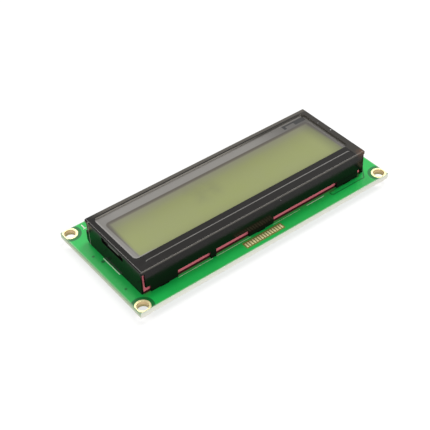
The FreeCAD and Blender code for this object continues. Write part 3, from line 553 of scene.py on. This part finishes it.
def gold_plate(finishes):
    """Immersion gold over nickel: pale warm metal with a fine satin grain, painted darker down the holes
    as shade.
    """
    material, tree, shader = start_material("immersion_gold", finishes.gold, 0.4, metallic=0.65)
    points = points_in_mm(tree)
    height = add_node(tree, "ShaderNodeSeparateXYZ", {"Vector": points}).outputs["Z"]
    # Painted shade: the gold darkens in two steps down the holes.
    mouth = fade(tree, height, BOARD_TOP - 0.08, BOARD_TOP - 0.18)
    deep = fade(tree, height, BOARD_TOP - 0.5, BOARD_TOP - 1.3)
    layers = [((mouth,), finishes.shaded_barrel_gold), ((deep,), finishes.barrel_shade)]
    tree.links.new(layered(tree, finishes.gold, layers), shader.inputs["Base Color"])
    tree.links.new(mottle(tree, points, 0.25, 0.3, 0.5), shader.inputs["Roughness"])
    return material


def enamel_wear(tree, points, parts, finishes):
    """Layers on the enamel: painted highlights on the near fold, the window's far lip and a corner,
    painted sheen on the borders and the window's right lip, and painted glints.
    """
    # Painted highlight along the near fold.
    fold_highlight_share = 0.22
    near_fold_highlight = (fade(tree, parts["Y"], NEAR_WALL + 0.375, NEAR_WALL + 0.175),
                 fade(tree, parts["Z"], BEZEL_TOP - 0.35, BEZEL_TOP - 0.15), fold_highlight_share)

    # Painted sheen along the far and right borders.
    top = fade(tree, parts["Z"], BEZEL_TOP - 0.25, BEZEL_TOP - 0.05)
    far_border_sheen = (fade(tree, parts["Y"], WINDOW_FAR + 0.2, WINDOW_FAR + 0.65),
                  fade(tree, parts["Y"], FAR_WALL + 0.325, FAR_WALL - 0.375),
                  fade(tree, parts["X"], -36.0, -30.0), top)
    right_sheen_share = 0.3
    right_side = fade(tree, parts["X"], 32.3, 32.5)
    right_border_sheen = (right_side, top, right_sheen_share)

    # Painted sheen on the window's right lip; painted highlight on its far lip, brighter to the left.
    below_top = fade(tree, parts["Z"], BEZEL_TOP - 0.01, BEZEL_TOP - 0.06)
    window = plan_distance(tree, points, WINDOW_CENTRE, (34.15, 9.55), 1.3)
    right_lip_sheen = (right_side, fade(tree, window, 0.2, 0.1), below_top)
    lip_light = add_node(tree, "ShaderNodeMapRange",
                         {"Value": parts["X"], "From Min": 6.0, "From Max": 20.0,
                          "To Min": 0.7, "To Max": 0.2}).outputs[0]
    far_lip_glint = (fade(tree, parts["Y"], WINDOW_FAR - 0.2, WINDOW_FAR - 0.1),
               fade(tree, parts["Y"], WINDOW_FAR + 0.12, WINDOW_FAR), below_top, lip_light)

    # Painted warm highlight, mottled, on the near right bend.
    corner = add_node(tree, "ShaderNodeVectorMath", {0: points, 1: (34.2, -13.5, 9.0)},
                      operation="DISTANCE").outputs["Value"]
    warm_corner_highlight = (fade(tree, corner, 2.3, 0.3), mottle(tree, points, 0.5, 0.0, 0.5))

    layers = [(near_fold_highlight, finishes.edge_highlight), (far_border_sheen, finishes.enamel_sheen),
              (right_border_sheen, finishes.enamel_sheen), (right_lip_sheen, finishes.enamel_sheen),
              (far_lip_glint, finishes.edge_highlight), (warm_corner_highlight, finishes.corner_warm_highlight)]
    # Three small pale spots of tin colour: painted glints.
    chips = (((34.4, -1.1, 9.05), 0.22), ((33.9, 3.4, 9.1), 0.12), ((6.2, -13.7, 8.05), 0.12))
    for place, radius in chips:
        chip = add_node(tree, "ShaderNodeVectorMath", {0: points, 1: place},
                        operation="DISTANCE").outputs["Value"]
        layers.append(((fade(tree, chip, radius, radius / 2),), finishes.tin))
    return layers


def black_enamel(finishes):
    """Stoving enamel sprayed on steel: black, glossy, faint orange peel, with painted highlights, sheen
    and glints.
    """
    material, tree, shader = start_material("black_enamel", finishes.enamel, 0.16, IOR=1.35,
                                            Specular_Tint=(1.0, 0.965, 0.9, 1.0))
    points = points_in_mm(tree)
    parts = add_node(tree, "ShaderNodeSeparateXYZ", {"Vector": points}).outputs
    layers = enamel_wear(tree, points, parts, finishes)
    tree.links.new(layered(tree, finishes.enamel, layers), shader.inputs["Base Color"])
    # The walls' enamel is thinner and duller than the top's, most of all on the left wall.
    wall_gloss = 0.3
    top_gloss = 0.5
    left_wall_loss = 0.12
    front_gloss = add_node(tree, "ShaderNodeMapRange",
                           {"Value": parts["Z"], "From Min": BEZEL_TOP - 0.6,
                            "From Max": BEZEL_TOP - 0.15, "To Min": wall_gloss,
                            "To Max": top_gloss}).outputs[0]
    left_wall = fade(tree, parts["X"], BEZEL_LEFT + 0.21, BEZEL_LEFT + 0.01)
    gloss = add_node(tree, "ShaderNodeMath", {0: left_wall, 1: -left_wall_loss, 2: front_gloss},
                     operation="MULTIPLY_ADD").outputs[0]
    tree.links.new(gloss, shader.inputs["Specular IOR Level"])
    # Orange peel has waves of about 0.6 mm and a few micrometres.
    peel = mottle(tree, points, 0.6, 0.0, 1.0, detail=1.0)
    bump = add_node(tree, "ShaderNodeBump",
                    {"Height": peel, "Strength": 0.2, "Distance": 0.01 * MM})
    tree.links.new(bump.outputs[0], shader.inputs["Normal"])
    tree.links.new(mottle(tree, points, 2.5, 0.12, 0.2), shader.inputs["Roughness"])
    return material


def film_field(tree, points, parts, finishes):
    """The field over the liquid crystal: yellow-green, in greyer clouds, with painted shade at its far
    and near sides.
    """
    far_shade_share = 0.7
    near_shade = 0.24
    cloud = plan_distance(tree, points, (-7.0, 0.8), (4.5, 3.5), 3.4)
    return layered(tree, finishes.film_field, [
        ((fade(tree, parts["Y"], 2.0, 6.4), far_shade_share), finishes.film_cloud_and_far_shade),
        ((fade(tree, cloud, 2.5, -3.0), mottle(tree, points, 5.0, -0.04, 0.3)),
         finishes.film_shade),
        ((fade(tree, parts["Y"], 1.0, -9.0), near_shade), finishes.film_shade),
        ((mottle(tree, points, 9.0, 0.0, 0.14),), finishes.film_cloud_and_far_shade),
    ])


def film_seal(tree, parts, field, finishes):
    """Layers of the seal's brown, which tints the field and deepens at its edge and far side."""
    strength = add_node(tree, "ShaderNodeMapRange",
                        {"Value": parts["Y"], "From Min": -6.0, "From Max": 5.0,
                         "To Min": 0.15, "To Max": 1.0}).outputs[0]
    line_place = 0.15
    line_width = 0.3
    offset = add_node(tree, "ShaderNodeMath", {0: field, 1: line_place},
                      operation="SUBTRACT").outputs[0]
    away = add_node(tree, "ShaderNodeMath", {0: offset}, operation="ABSOLUTE").outputs[0]
    return [((fade(tree, field, -1.9, 0.1), fade(tree, field, 0.55, 0.2), strength),
             finishes.seal_line),
            ((fade(tree, away, line_width, 0.0), strength), finishes.seal_line)]


def film_shades(tree, parts, finishes):
    """Layers of painted shade on the film: its right end, its far right strip and far left corner."""
    right_shade = 0.72
    far_right_shade = 0.75
    far_left_shade = 0.25
    right_end = (fade(tree, parts["X"], 27.5, 34.0), right_shade)
    far_right = (fade(tree, parts["X"], 12.0, 29.0), fade(tree, parts["Y"], 5.6, 6.9),
                 far_right_shade)
    far_left = (fade(tree, parts["X"], -28.0, -34.5), fade(tree, parts["Y"], -3.0, 6.5),
                far_left_shade)
    return [(place, finishes.film_shade) for place in (right_end, far_right, far_left)]


def polariser_film(finishes):
    """Anti-glare polariser film: satin, over the field, the seal line and the dark end marks, with
    painted light and shade.
    """
    material, tree, shader = start_material("polariser_film", finishes.film_field, 0.34)
    points = points_in_mm(tree)
    parts = add_node(tree, "ShaderNodeSeparateXYZ", {"Vector": points}).outputs
    field = plan_distance(tree, points, (-0.4, -3.0), (32.5, 9.3), 0.9)
    layers = [((fade(tree, field, 0.25, -0.45),), film_field(tree, points, parts, finishes))]
    layers += film_seal(tree, parts, field, finishes)
    layers += film_shades(tree, parts, finishes)

    # A painted reflection of the bezel's window edge: a pale line just inside the window, at its left
    # end.
    rim = plan_distance(tree, points, (1.0, 2.0), (35.2, 10.42), 1.3)
    layers.append(((fade(tree, rim, -0.3, 0.0), fade(tree, parts["X"], -26.5, -31.0)),
                   finishes.film_edge_reflection))

    # A black mark in the far right corner: its hook, its bar and its block.
    mark_corner = 0.1
    for centre, half in (((25.85, 8.05), (0.42, 0.75)), ((27.6, 8.5), (2.1, 0.24)),
                         ((31.6, 7.98), (2.4, 0.76))):
        reach = plan_distance(tree, points, centre, half, mark_corner)
        layers.append(((fade(tree, reach, 0.1, -0.06),), finishes.end_mark))
    # Painted highlight: a pale line along the window's far edge, towards its right end.
    layers.append(((fade(tree, parts["X"], 18.0, 27.0), fade(tree, parts["Y"], 8.85, 9.1)),
                   finishes.film_border))
    tree.links.new(layered(tree, finishes.film_border, layers), shader.inputs["Base Color"])
    # The anti-glare frost is far finer, and is drawn at 0.15 mm so that it shows.
    frost = mottle(tree, points, 0.15, 0.0, 1.0)
    bump = add_node(tree, "ShaderNodeBump",
                    {"Height": frost, "Strength": 0.25, "Distance": 0.006 * MM})
    tree.links.new(bump.outputs[0], shader.inputs["Normal"])
    return material


def pink_rubber(finishes):
    """Foamed silicone rubber round the contact core: matt pink."""
    material, tree, shader = start_material("pink_silicone_rubber", finishes.rubber, 0.7)
    points = points_in_mm(tree)
    bump = add_node(tree, "ShaderNodeBump",
                    {"Height": mottle(tree, points, 0.12, 0.0, 1.0), "Strength": 0.5,
                     "Distance": 0.02 * MM})
    tree.links.new(bump.outputs[0], shader.inputs["Normal"])
    return material


def potting_resin(finishes):
    """Epoxy dropped over a bonded chip: black, half gloss, with slow waves."""
    material, tree, shader = start_material("black_epoxy", finishes.resin, 0.3)
    points = points_in_mm(tree)
    tree.links.new(mottle(tree, points, 1.5, 0.22, 0.45), shader.inputs["Roughness"])
    return material


def tin_solder(finishes):
    """Tin solder, reflowed: bright grey metal with a faint grain."""
    material, tree, shader = start_material("tin_solder", finishes.tin, 0.3, metallic=1.0)
    points = points_in_mm(tree)
    tree.links.new(mottle(tree, points, 0.3, 0.2, 0.45), shader.inputs["Roughness"])
    return material


def plain_finish(name, base, roughness, grain, **sockets):
    """A moulded or fired finish of one colour with a fine grain, in millimetres, in its gloss."""
    material, tree, shader = start_material(name, base, roughness, **sockets)
    points = points_in_mm(tree)
    gloss = mottle(tree, points, grain, roughness * 0.8, roughness * 1.2)
    tree.links.new(gloss, shader.inputs["Roughness"])
    return material


class DISPLAY_OT_board(bpy.types.Operator):
    """Finish the circuit board and print its legend"""

    bl_idname = "display_module.board"
    bl_label = "Board"

    def execute(self, context):
        finishes = context.scene.display_finishes
        sizes = context.scene.display_sizes
        dress(["circuit_board"], solder_mask(finishes))
        ink = legend_ink(finishes)
        ink_top = BOARD_TOP + sizes.ink_height / MM
        ink_edge = 0.01 * MM
        # Each print's two opposite corners in plan: lines along the bezel's foot, a bar and a plain 1.
        prints = {
            "legend_side_line": ((-36.7, -4.1), (-36.48, 3.2)),
            "legend_near_bar": ((14.8, -14.0), (20.8, -13.85)),
            "legend_near_line_1": ((-26.2, -14.0), (-15.8, -13.91)),
            "legend_near_line_2": ((-14.6, -14.0), (-3.8, -13.91)),
            "legend_near_line_3": ((3.6, -13.99), (12.5, -13.93)),
            "legend_pin_one": ((-34.4, 15.7), (-34.12, 17.3)),
            "legend_pin_one_foot": ((-34.75, 15.45), (-33.8, 15.65)),
        }
        for name, (low, high) in prints.items():
            piece = add_plate(name, (*low, BOARD_TOP), (*high, ink_top), ink_edge)
            finish_piece(piece, ink)
        return {"FINISHED"}


class DISPLAY_OT_plating(bpy.types.Operator):
    """Plate the fixing holes, the header holes, the contact lands and a row of bare pads"""

    bl_idname = "display_module.plating"
    bl_label = "Gold plating"

    def execute(self, context):
        sizes = context.scene.display_sizes
        gold = gold_plate(context.scene.display_finishes)
        dress(["contact_lands", "jumper_pads"], gold)
        plate_edge = 0.02 * MM
        rings = merged_copy("mounting_hole_rings", "plated_fixing_rings")
        round_edges(rings, plate_edge)
        finish_piece(rings, gold, ["mounting_hole_rings"])

        low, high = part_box("header_hole_rings")
        foot = low[2] / MM
        crown = high[2] / MM
        first_hole = (FIRST_HEADER_HOLE, (low[1] + high[1]) / 2 / MM)
        header_count = 16
        bore = 0.5
        mouth = 0.56
        drill = 0.6
        pad = HEADER_PAD_RADIUS
        shoulder = pad - 0.03
        soft = 0.01
        # Radius and height of each ring: out under the board, up the bore and back over it.
        profile = [(drill, 0.0), (pad, 0.0), (pad, foot + soft), (shoulder, foot),
                   (mouth, foot), (bore, 0.03), (bore, BOARD_TOP - 0.03), (mouth, crown),
                   (shoulder, crown), (pad, crown - soft), (pad, BOARD_TOP), (drill, BOARD_TOP)]
        holes = add_turned("plated_header_rings", first_hole, profile, sides=36, closed=True)
        repeat(holes, [(HEADER_PITCH * step, 0, 0) for step in range(1, header_count)])
        smooth(holes)
        finish_piece(holes, gold, ["header_hole_rings"])

        pad_count = 15
        pad_pitch = 0.8
        pad_edge = 0.03 * MM
        pad_top = BOARD_TOP + sizes.pad_height / MM
        pads = add_plate("bare_gold_pads", (-6.75, -16.4, BOARD_TOP), (-6.25, -14.95, pad_top),
                         pad_edge)
        repeat(pads, [(pad_pitch * step, 0, 0) for step in range(1, pad_count)])
        finish_piece(pads, gold)
        return {"FINISHED"}


class DISPLAY_OT_bezel(bpy.types.Operator):
    """Soften the bezel's stamped groove, round its cut edges and enamel it black"""

    bl_idname = "display_module.bezel"
    bl_label = "Bezel"

    def execute(self, context):
        sizes = context.scene.display_sizes
        piece = merged_copy("bezel", "enamelled_bezel")
        # The stamped groove's floor is raised and drawn in towards its near side, so that its
        # far side becomes a low slope that catches the light.
        pick(piece)
        bpy.ops.object.mode_set(mode="EDIT")
        bpy.ops.mesh.select_mode(type="VERT")
        slack = 0.04
        floor = BEZEL_TOP - GROOVE_DEPTH
        for height in (floor, BEZEL_TOP):
            bpy.ops.mesh.select_all(action="DESELECT")
            bpy.ops.object.mode_set(mode="OBJECT")
            for corner in piece.data.vertices:
                place = corner.co / MM
                corner.select = (abs(place.z - height) < slack
                                 and GROOVE_NEAR - slack < place.y < GROOVE_FAR + slack)
            bpy.ops.object.mode_set(mode="EDIT")
            bpy.ops.mesh.mark_sharp(use_verts=True)
            if height == floor:
                bpy.ops.transform.resize(value=(1, sizes.groove_floor, 1),
                                         center_override=(0.0, GROOVE_NEAR * MM, floor * MM))
                bpy.ops.transform.translate(value=(0, 0, sizes.groove_lift))
        bpy.ops.object.mode_set(mode="OBJECT")
        round_edges(piece, sizes.bezel_edge)
        finish_piece(piece, black_enamel(context.scene.display_finishes),
                     ["bezel"])
        return {"FINISHED"}


class DISPLAY_OT_cell(bpy.types.Operator):
    """Finish the glass cell, its films, its seal and its contact strip"""

    bl_idname = "display_module.cell"
    bl_label = "Glass cell"

    def execute(self, context):
        finishes = context.scene.display_finishes
        dress(["front_polariser"], polariser_film(finishes))
        # Dyed plastic film: dark and satin.
        dress(["rear_polariser"], plain_finish("rear_polariser_film", linear("#4E5148"), 0.3, 0.2))
        # Soda-lime glass, cut by scribing: glossy, and grey where only its edges show.
        glass = plain_finish("soda_lime_glass", linear("#7B7872"), 0.08, 1.0, IOR=1.52)
        dress(["front_glass", "rear_glass"], glass)
        # Heat-cured epoxy bead between the glasses: dull straw.
        dress(["cell_seal"], plain_finish("epoxy_seal", linear("#8C8468"), 0.4, 0.3))
        # Liquid crystal between polarisers: glossy yellow-green.
        dress(["liquid_crystal_fill"], plain_finish("liquid_crystal", linear("#8E9A68"), 0.2, 0.5))
        # Light-cured resin drop over the fill port: round-edged, dull grey-green.
        plug_edge = 0.25 * MM
        plug = merged_copy("fill_port_plug", "resin_plug")
        round_edges(plug, plug_edge, segments=4)
        finish_piece(plug, plain_finish("cured_resin", linear("#4B5043"), 0.2, 0.4),
                     ["fill_port_plug"])
        dress(["contact_strip"], pink_rubber(finishes))
        return {"FINISHED"}


class DISPLAY_OT_backlight(bpy.types.Operator):
    """Finish the light box behind the cell and its leads"""

    bl_idname = "display_module.backlight"
    bl_label = "Backlight"

    def execute(self, context):
        # White-masked laminate: half gloss.
        dress(["backlight_board"], plain_finish("white_laminate", linear("#DDE0D6"), 0.45, 0.5))
        # Moulded polycarbonate filled with white pigment: satin, no colour.
        dress(["reflector_frame"], plain_finish("white_polycarbonate", linear("#E6E6E2"), 0.4, 0.3))
        # Frosted polyester film: matt white.
        dress(["backlight_diffuser"], plain_finish("diffuser_film", linear("#E4E8DC"), 0.6, 0.2))
        # Epoxy with phosphor over each lamp: glossy pale yellow.
        dress(["lamp_chips"], plain_finish("lamp_resin", linear("#D9D98A"), 0.25, 0.2))
        dress(["backlight_leads"], tin_solder(context.scene.display_finishes))
        return {"FINISHED"}


class DISPLAY_OT_rear(bpy.types.Operator):
    """Drop the resin over the chips and solder the parts on the rear face"""

    bl_idname = "display_module.rear"
    bl_label = "Rear face"

    def execute(self, context):
        finishes = context.scene.display_finishes
        sizes = context.scene.display_sizes
        resin = potting_resin(finishes)
        for node, name in (("controller_blob", "resin_controller"),
                           ("driver_blob", "resin_driver")):
            low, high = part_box(node)
            centre = ((low[0] + high[0]) / 2 / MM, (low[1] + high[1]) / 2 / MM)
            radius = (high[0] - low[0]) / 2 / MM
            height = -low[2] / MM
            # A dome a little fuller than a round one, with a small flat crown.
            ring_count = 8
            fullness = 0.8
            crown = 0.05
            turns = [math.pi / 2 * ring / ring_count for ring in range(ring_count)]
            profile = [(radius * math.cos(turn) ** fullness, -height * math.sin(turn))
                       for turn in turns]
            profile.append((radius * crown, -height))
            piece = add_turned(name, centre, profile, sides=48)
            smooth(piece, math.radians(60))
            finish_piece(piece, resin, [node])
        tin = tin_solder(finishes)
        dress(["solder_lands"], tin)
        low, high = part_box("lead_solder_joints")
        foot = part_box("circuit_board")[0][2] / MM
        depth = foot - low[2] / MM
        broad = 0.95
        # The cone's hollow flank: shares of its radius and of its height, from the board down.
        flank = ((1.0, 0.0), (0.86, 0.12), (0.66, 0.45), (0.52, 0.85), (0.42, 1.0))
        profile = [(broad * width, foot - depth * drop) for width, drop in flank]
        first_joint = (low[0] / MM + broad, low[1] / MM + broad)
        along = (high[0] - low[0]) / MM - 2 * broad
        across = (high[1] - low[1]) / MM - 2 * broad
        joints = add_turned("solder_cones", first_joint, profile)
        repeat(joints, [(along, 0, 0), (0, across, 0), (along, across, 0)])
        smooth(joints)
        finish_piece(joints, tin, ["lead_solder_joints"])
        # Glassy overglaze on a thick-film resistor, and bare fired barium titanate.
        glaze = plain_finish("resistor_glaze", finishes.glaze, 0.35, 0.2)
        ceramic = plain_finish("fired_ceramic", finishes.ceramic, 0.5, 0.15)
        for node, name, finish, slot in (
                ("resistor_bodies", "resistor_blocks", glaze, "resistor_glaze"),
                ("resistor_end_caps", "resistor_caps", tin, "solder"),
                ("capacitor_bodies", "capacitor_blocks", ceramic, "capacitor_ceramic"),
                ("capacitor_end_caps", "capacitor_caps", tin, "solder")):
            piece = merged_copy(node, name)
            round_edges(piece, sizes.chip_edge)
            finish_piece(piece, finish, [node])
        return {"FINISHED"}


def seen_rays(tree):
    """1 on rays that show a surface to the camera, straight or by gloss or glass, and 0 on others."""
    rays = add_node(tree, "ShaderNodeLightPath").outputs
    seen = rays["Is Camera Ray"]
    for kind in ("Is Glossy Ray", "Is Transmission Ray"):
        seen = add_node(tree, "ShaderNodeMath", {0: seen, 1: rays[kind]},
                        operation="MAXIMUM").outputs[0]
    return seen


def white_floor():
    """Seamless white paper: seen as white, but with the module's shadow still on it."""
    material = bpy.data.materials.new("white_floor")
    material.use_nodes = True
    tree = material.node_tree
    tree.nodes.clear()
    paint = 0.32
    white = 1.05
    lift = add_node(tree, "ShaderNodeMath", {0: seen_rays(tree), 1: white - paint},
                    operation="MULTIPLY").outputs[0]
    matt = add_node(tree, "ShaderNodeBsdfDiffuse", {"Color": (paint,) * 3}).outputs[0]
    glow = add_node(tree, "ShaderNodeEmission", {"Strength": lift}).outputs[0]
    both = add_node(tree, "ShaderNodeAddShader", {0: matt, 1: glow}).outputs[0]
    add_node(tree, "ShaderNodeOutputMaterial", {"Surface": both})
    return material


def studio_world(stage):
    """An even white room: seen as white, but lighting the module only as the sky setting says."""
    world = bpy.data.worlds.new("studio")
    world.use_nodes = True
    tree = world.node_tree
    tree.nodes.clear()
    strength = add_node(tree, "ShaderNodeMapRange",
                        {"Value": seen_rays(tree), "To Min": stage.sky, "To Max": 1.0}).outputs[0]
    sky = add_node(tree, "ShaderNodeBackground",
                   {"Color": (1, 1, 1), "Strength": strength}).outputs[0]
    add_node(tree, "ShaderNodeOutputWorld", {"Surface": sky})
    return world


def hang_lamp(stage, name, place, extent, level, in_gloss):
    """Hangs a soft lamp aimed at the module; at level 1 it adds what the sky lacks of full light."""
    aim = Vector(place)
    bpy.ops.object.light_add(type="AREA", location=aim)
    lamp = bpy.context.object
    lamp.name = name
    lamp.data.shape = "RECTANGLE"
    lamp.data.size, lamp.data.size_y = extent
    lamp.rotation_euler = aim.to_track_quat("Z", "Y").to_euler()
    lamp.visible_glossy = in_gloss
    steepness = aim.z / aim.length
    lamp.data.energy = ((1 - stage.sky) * level * math.pi * math.pi
                        * aim.length_squared / steepness)


def place_camera(stage):
    """Places the camera where the photo was taken from."""
    sensor_width_mm = 36
    nearest = 0.01
    bpy.ops.object.camera_add()
    camera = bpy.context.object
    camera.name = "camera"
    camera.data.sensor_width = sensor_width_mm
    camera.data.lens = stage.lens
    camera.data.clip_start = nearest
    flat = math.cos(stage.elevation)
    back = Vector((math.sin(stage.azimuth) * flat, -math.cos(stage.azimuth) * flat,
                   math.sin(stage.elevation)))
    right = (-back).cross(Vector((0, 0, 1))).normalized()
    up = right.cross(-back)
    across = right * math.cos(stage.roll) + up * math.sin(stage.roll)
    upward = up * math.cos(stage.roll) - right * math.sin(stage.roll)
    place = Vector(stage.target) + back * stage.distance
    camera.matrix_world = Matrix(
        [(across[row], upward[row], back[row], place[row]) for row in range(3)]
        + [(0, 0, 0, 1)])
    return camera


class DISPLAY_OT_stage(bpy.types.Operator):
    """Lay the pale floor, set the lamps and place the camera"""

    bl_idname = "display_module.stage"
    bl_label = "Stage"

    def execute(self, context):
        stage = context.scene.display_stage
        deselect()
        bpy.ops.mesh.primitive_plane_add(size=FLOOR_SPAN, location=(0, 0, FLOOR_HEIGHT))
        floor = context.object
        floor.name = "floor"
        floor.data.materials.append(white_floor())
        context.scene.world = studio_world(stage)

        # Name, place and size in metres, level of light, and whether mirrors show it.
        lamps = (("right_lamp", (0.44, 0.16, 0.8), (0.26, 0.56), 0.64, True),
                 ("far_lamp", (0.03, 0.62, 0.8), (0.32, 0.2), 0.34, True),
                 ("front_lamp", (-0.4, -0.75, 0.3), (0.6, 0.6), 0.3, False))
        for lamp in lamps:
            hang_lamp(stage, *lamp)
        deselect()
        context.scene.camera = place_camera(stage)
        context.scene.view_settings.view_transform = "Standard"
        return {"FINISHED"}


class DISPLAY_PT_module(bpy.types.Panel):
    """Settings and steps of the display module"""

    bl_idname = "DISPLAY_PT_module"
    bl_label = "Display Module"
    bl_space_type = "VIEW_3D"
    bl_region_type = "UI"
    bl_category = "Display Module"

    def draw(self, context):
        scene = context.scene
        for group in (scene.display_finishes, scene.display_sizes, scene.display_stage):
            box = self.layout.box()
            for name in group.bl_rna.properties.keys():
                if name not in ("rna_type", "name"):
                    box.prop(group, name)
        for step in STEPS:
            self.layout.operator(step.bl_idname)


STEPS = (DISPLAY_OT_board, DISPLAY_OT_plating, DISPLAY_OT_bezel, DISPLAY_OT_cell,
         DISPLAY_OT_backlight, DISPLAY_OT_rear, DISPLAY_OT_stage)
GROUPS = {
    "display_finishes": DisplayFinishes,
    "display_sizes": DisplaySizes,
    "display_stage": DisplayStage,
}


def register():
    """Registers the settings, the steps and the panel."""
    for name, group in GROUPS.items():
        bpy.utils.register_class(group)
        setattr(bpy.types.Scene, name, bpy.props.PointerProperty(type=group))
    for step in STEPS:
        bpy.utils.register_class(step)
    bpy.utils.register_class(DISPLAY_PT_module)


def unregister():
    """Takes away what register adds."""
    bpy.utils.unregister_class(DISPLAY_PT_module)
    for step in reversed(STEPS):
        bpy.utils.unregister_class(step)
    for name, group in GROUPS.items():
        delattr(bpy.types.Scene, name)
        bpy.utils.unregister_class(group)


def main():
    register()
    bpy.ops.display_module.board()
    bpy.ops.display_module.plating()
    bpy.ops.display_module.bezel()
    bpy.ops.display_module.cell()
    bpy.ops.display_module.backlight()
    bpy.ops.display_module.rear()
    bpy.ops.display_module.stage()


if __name__ == "__main__":
    main()
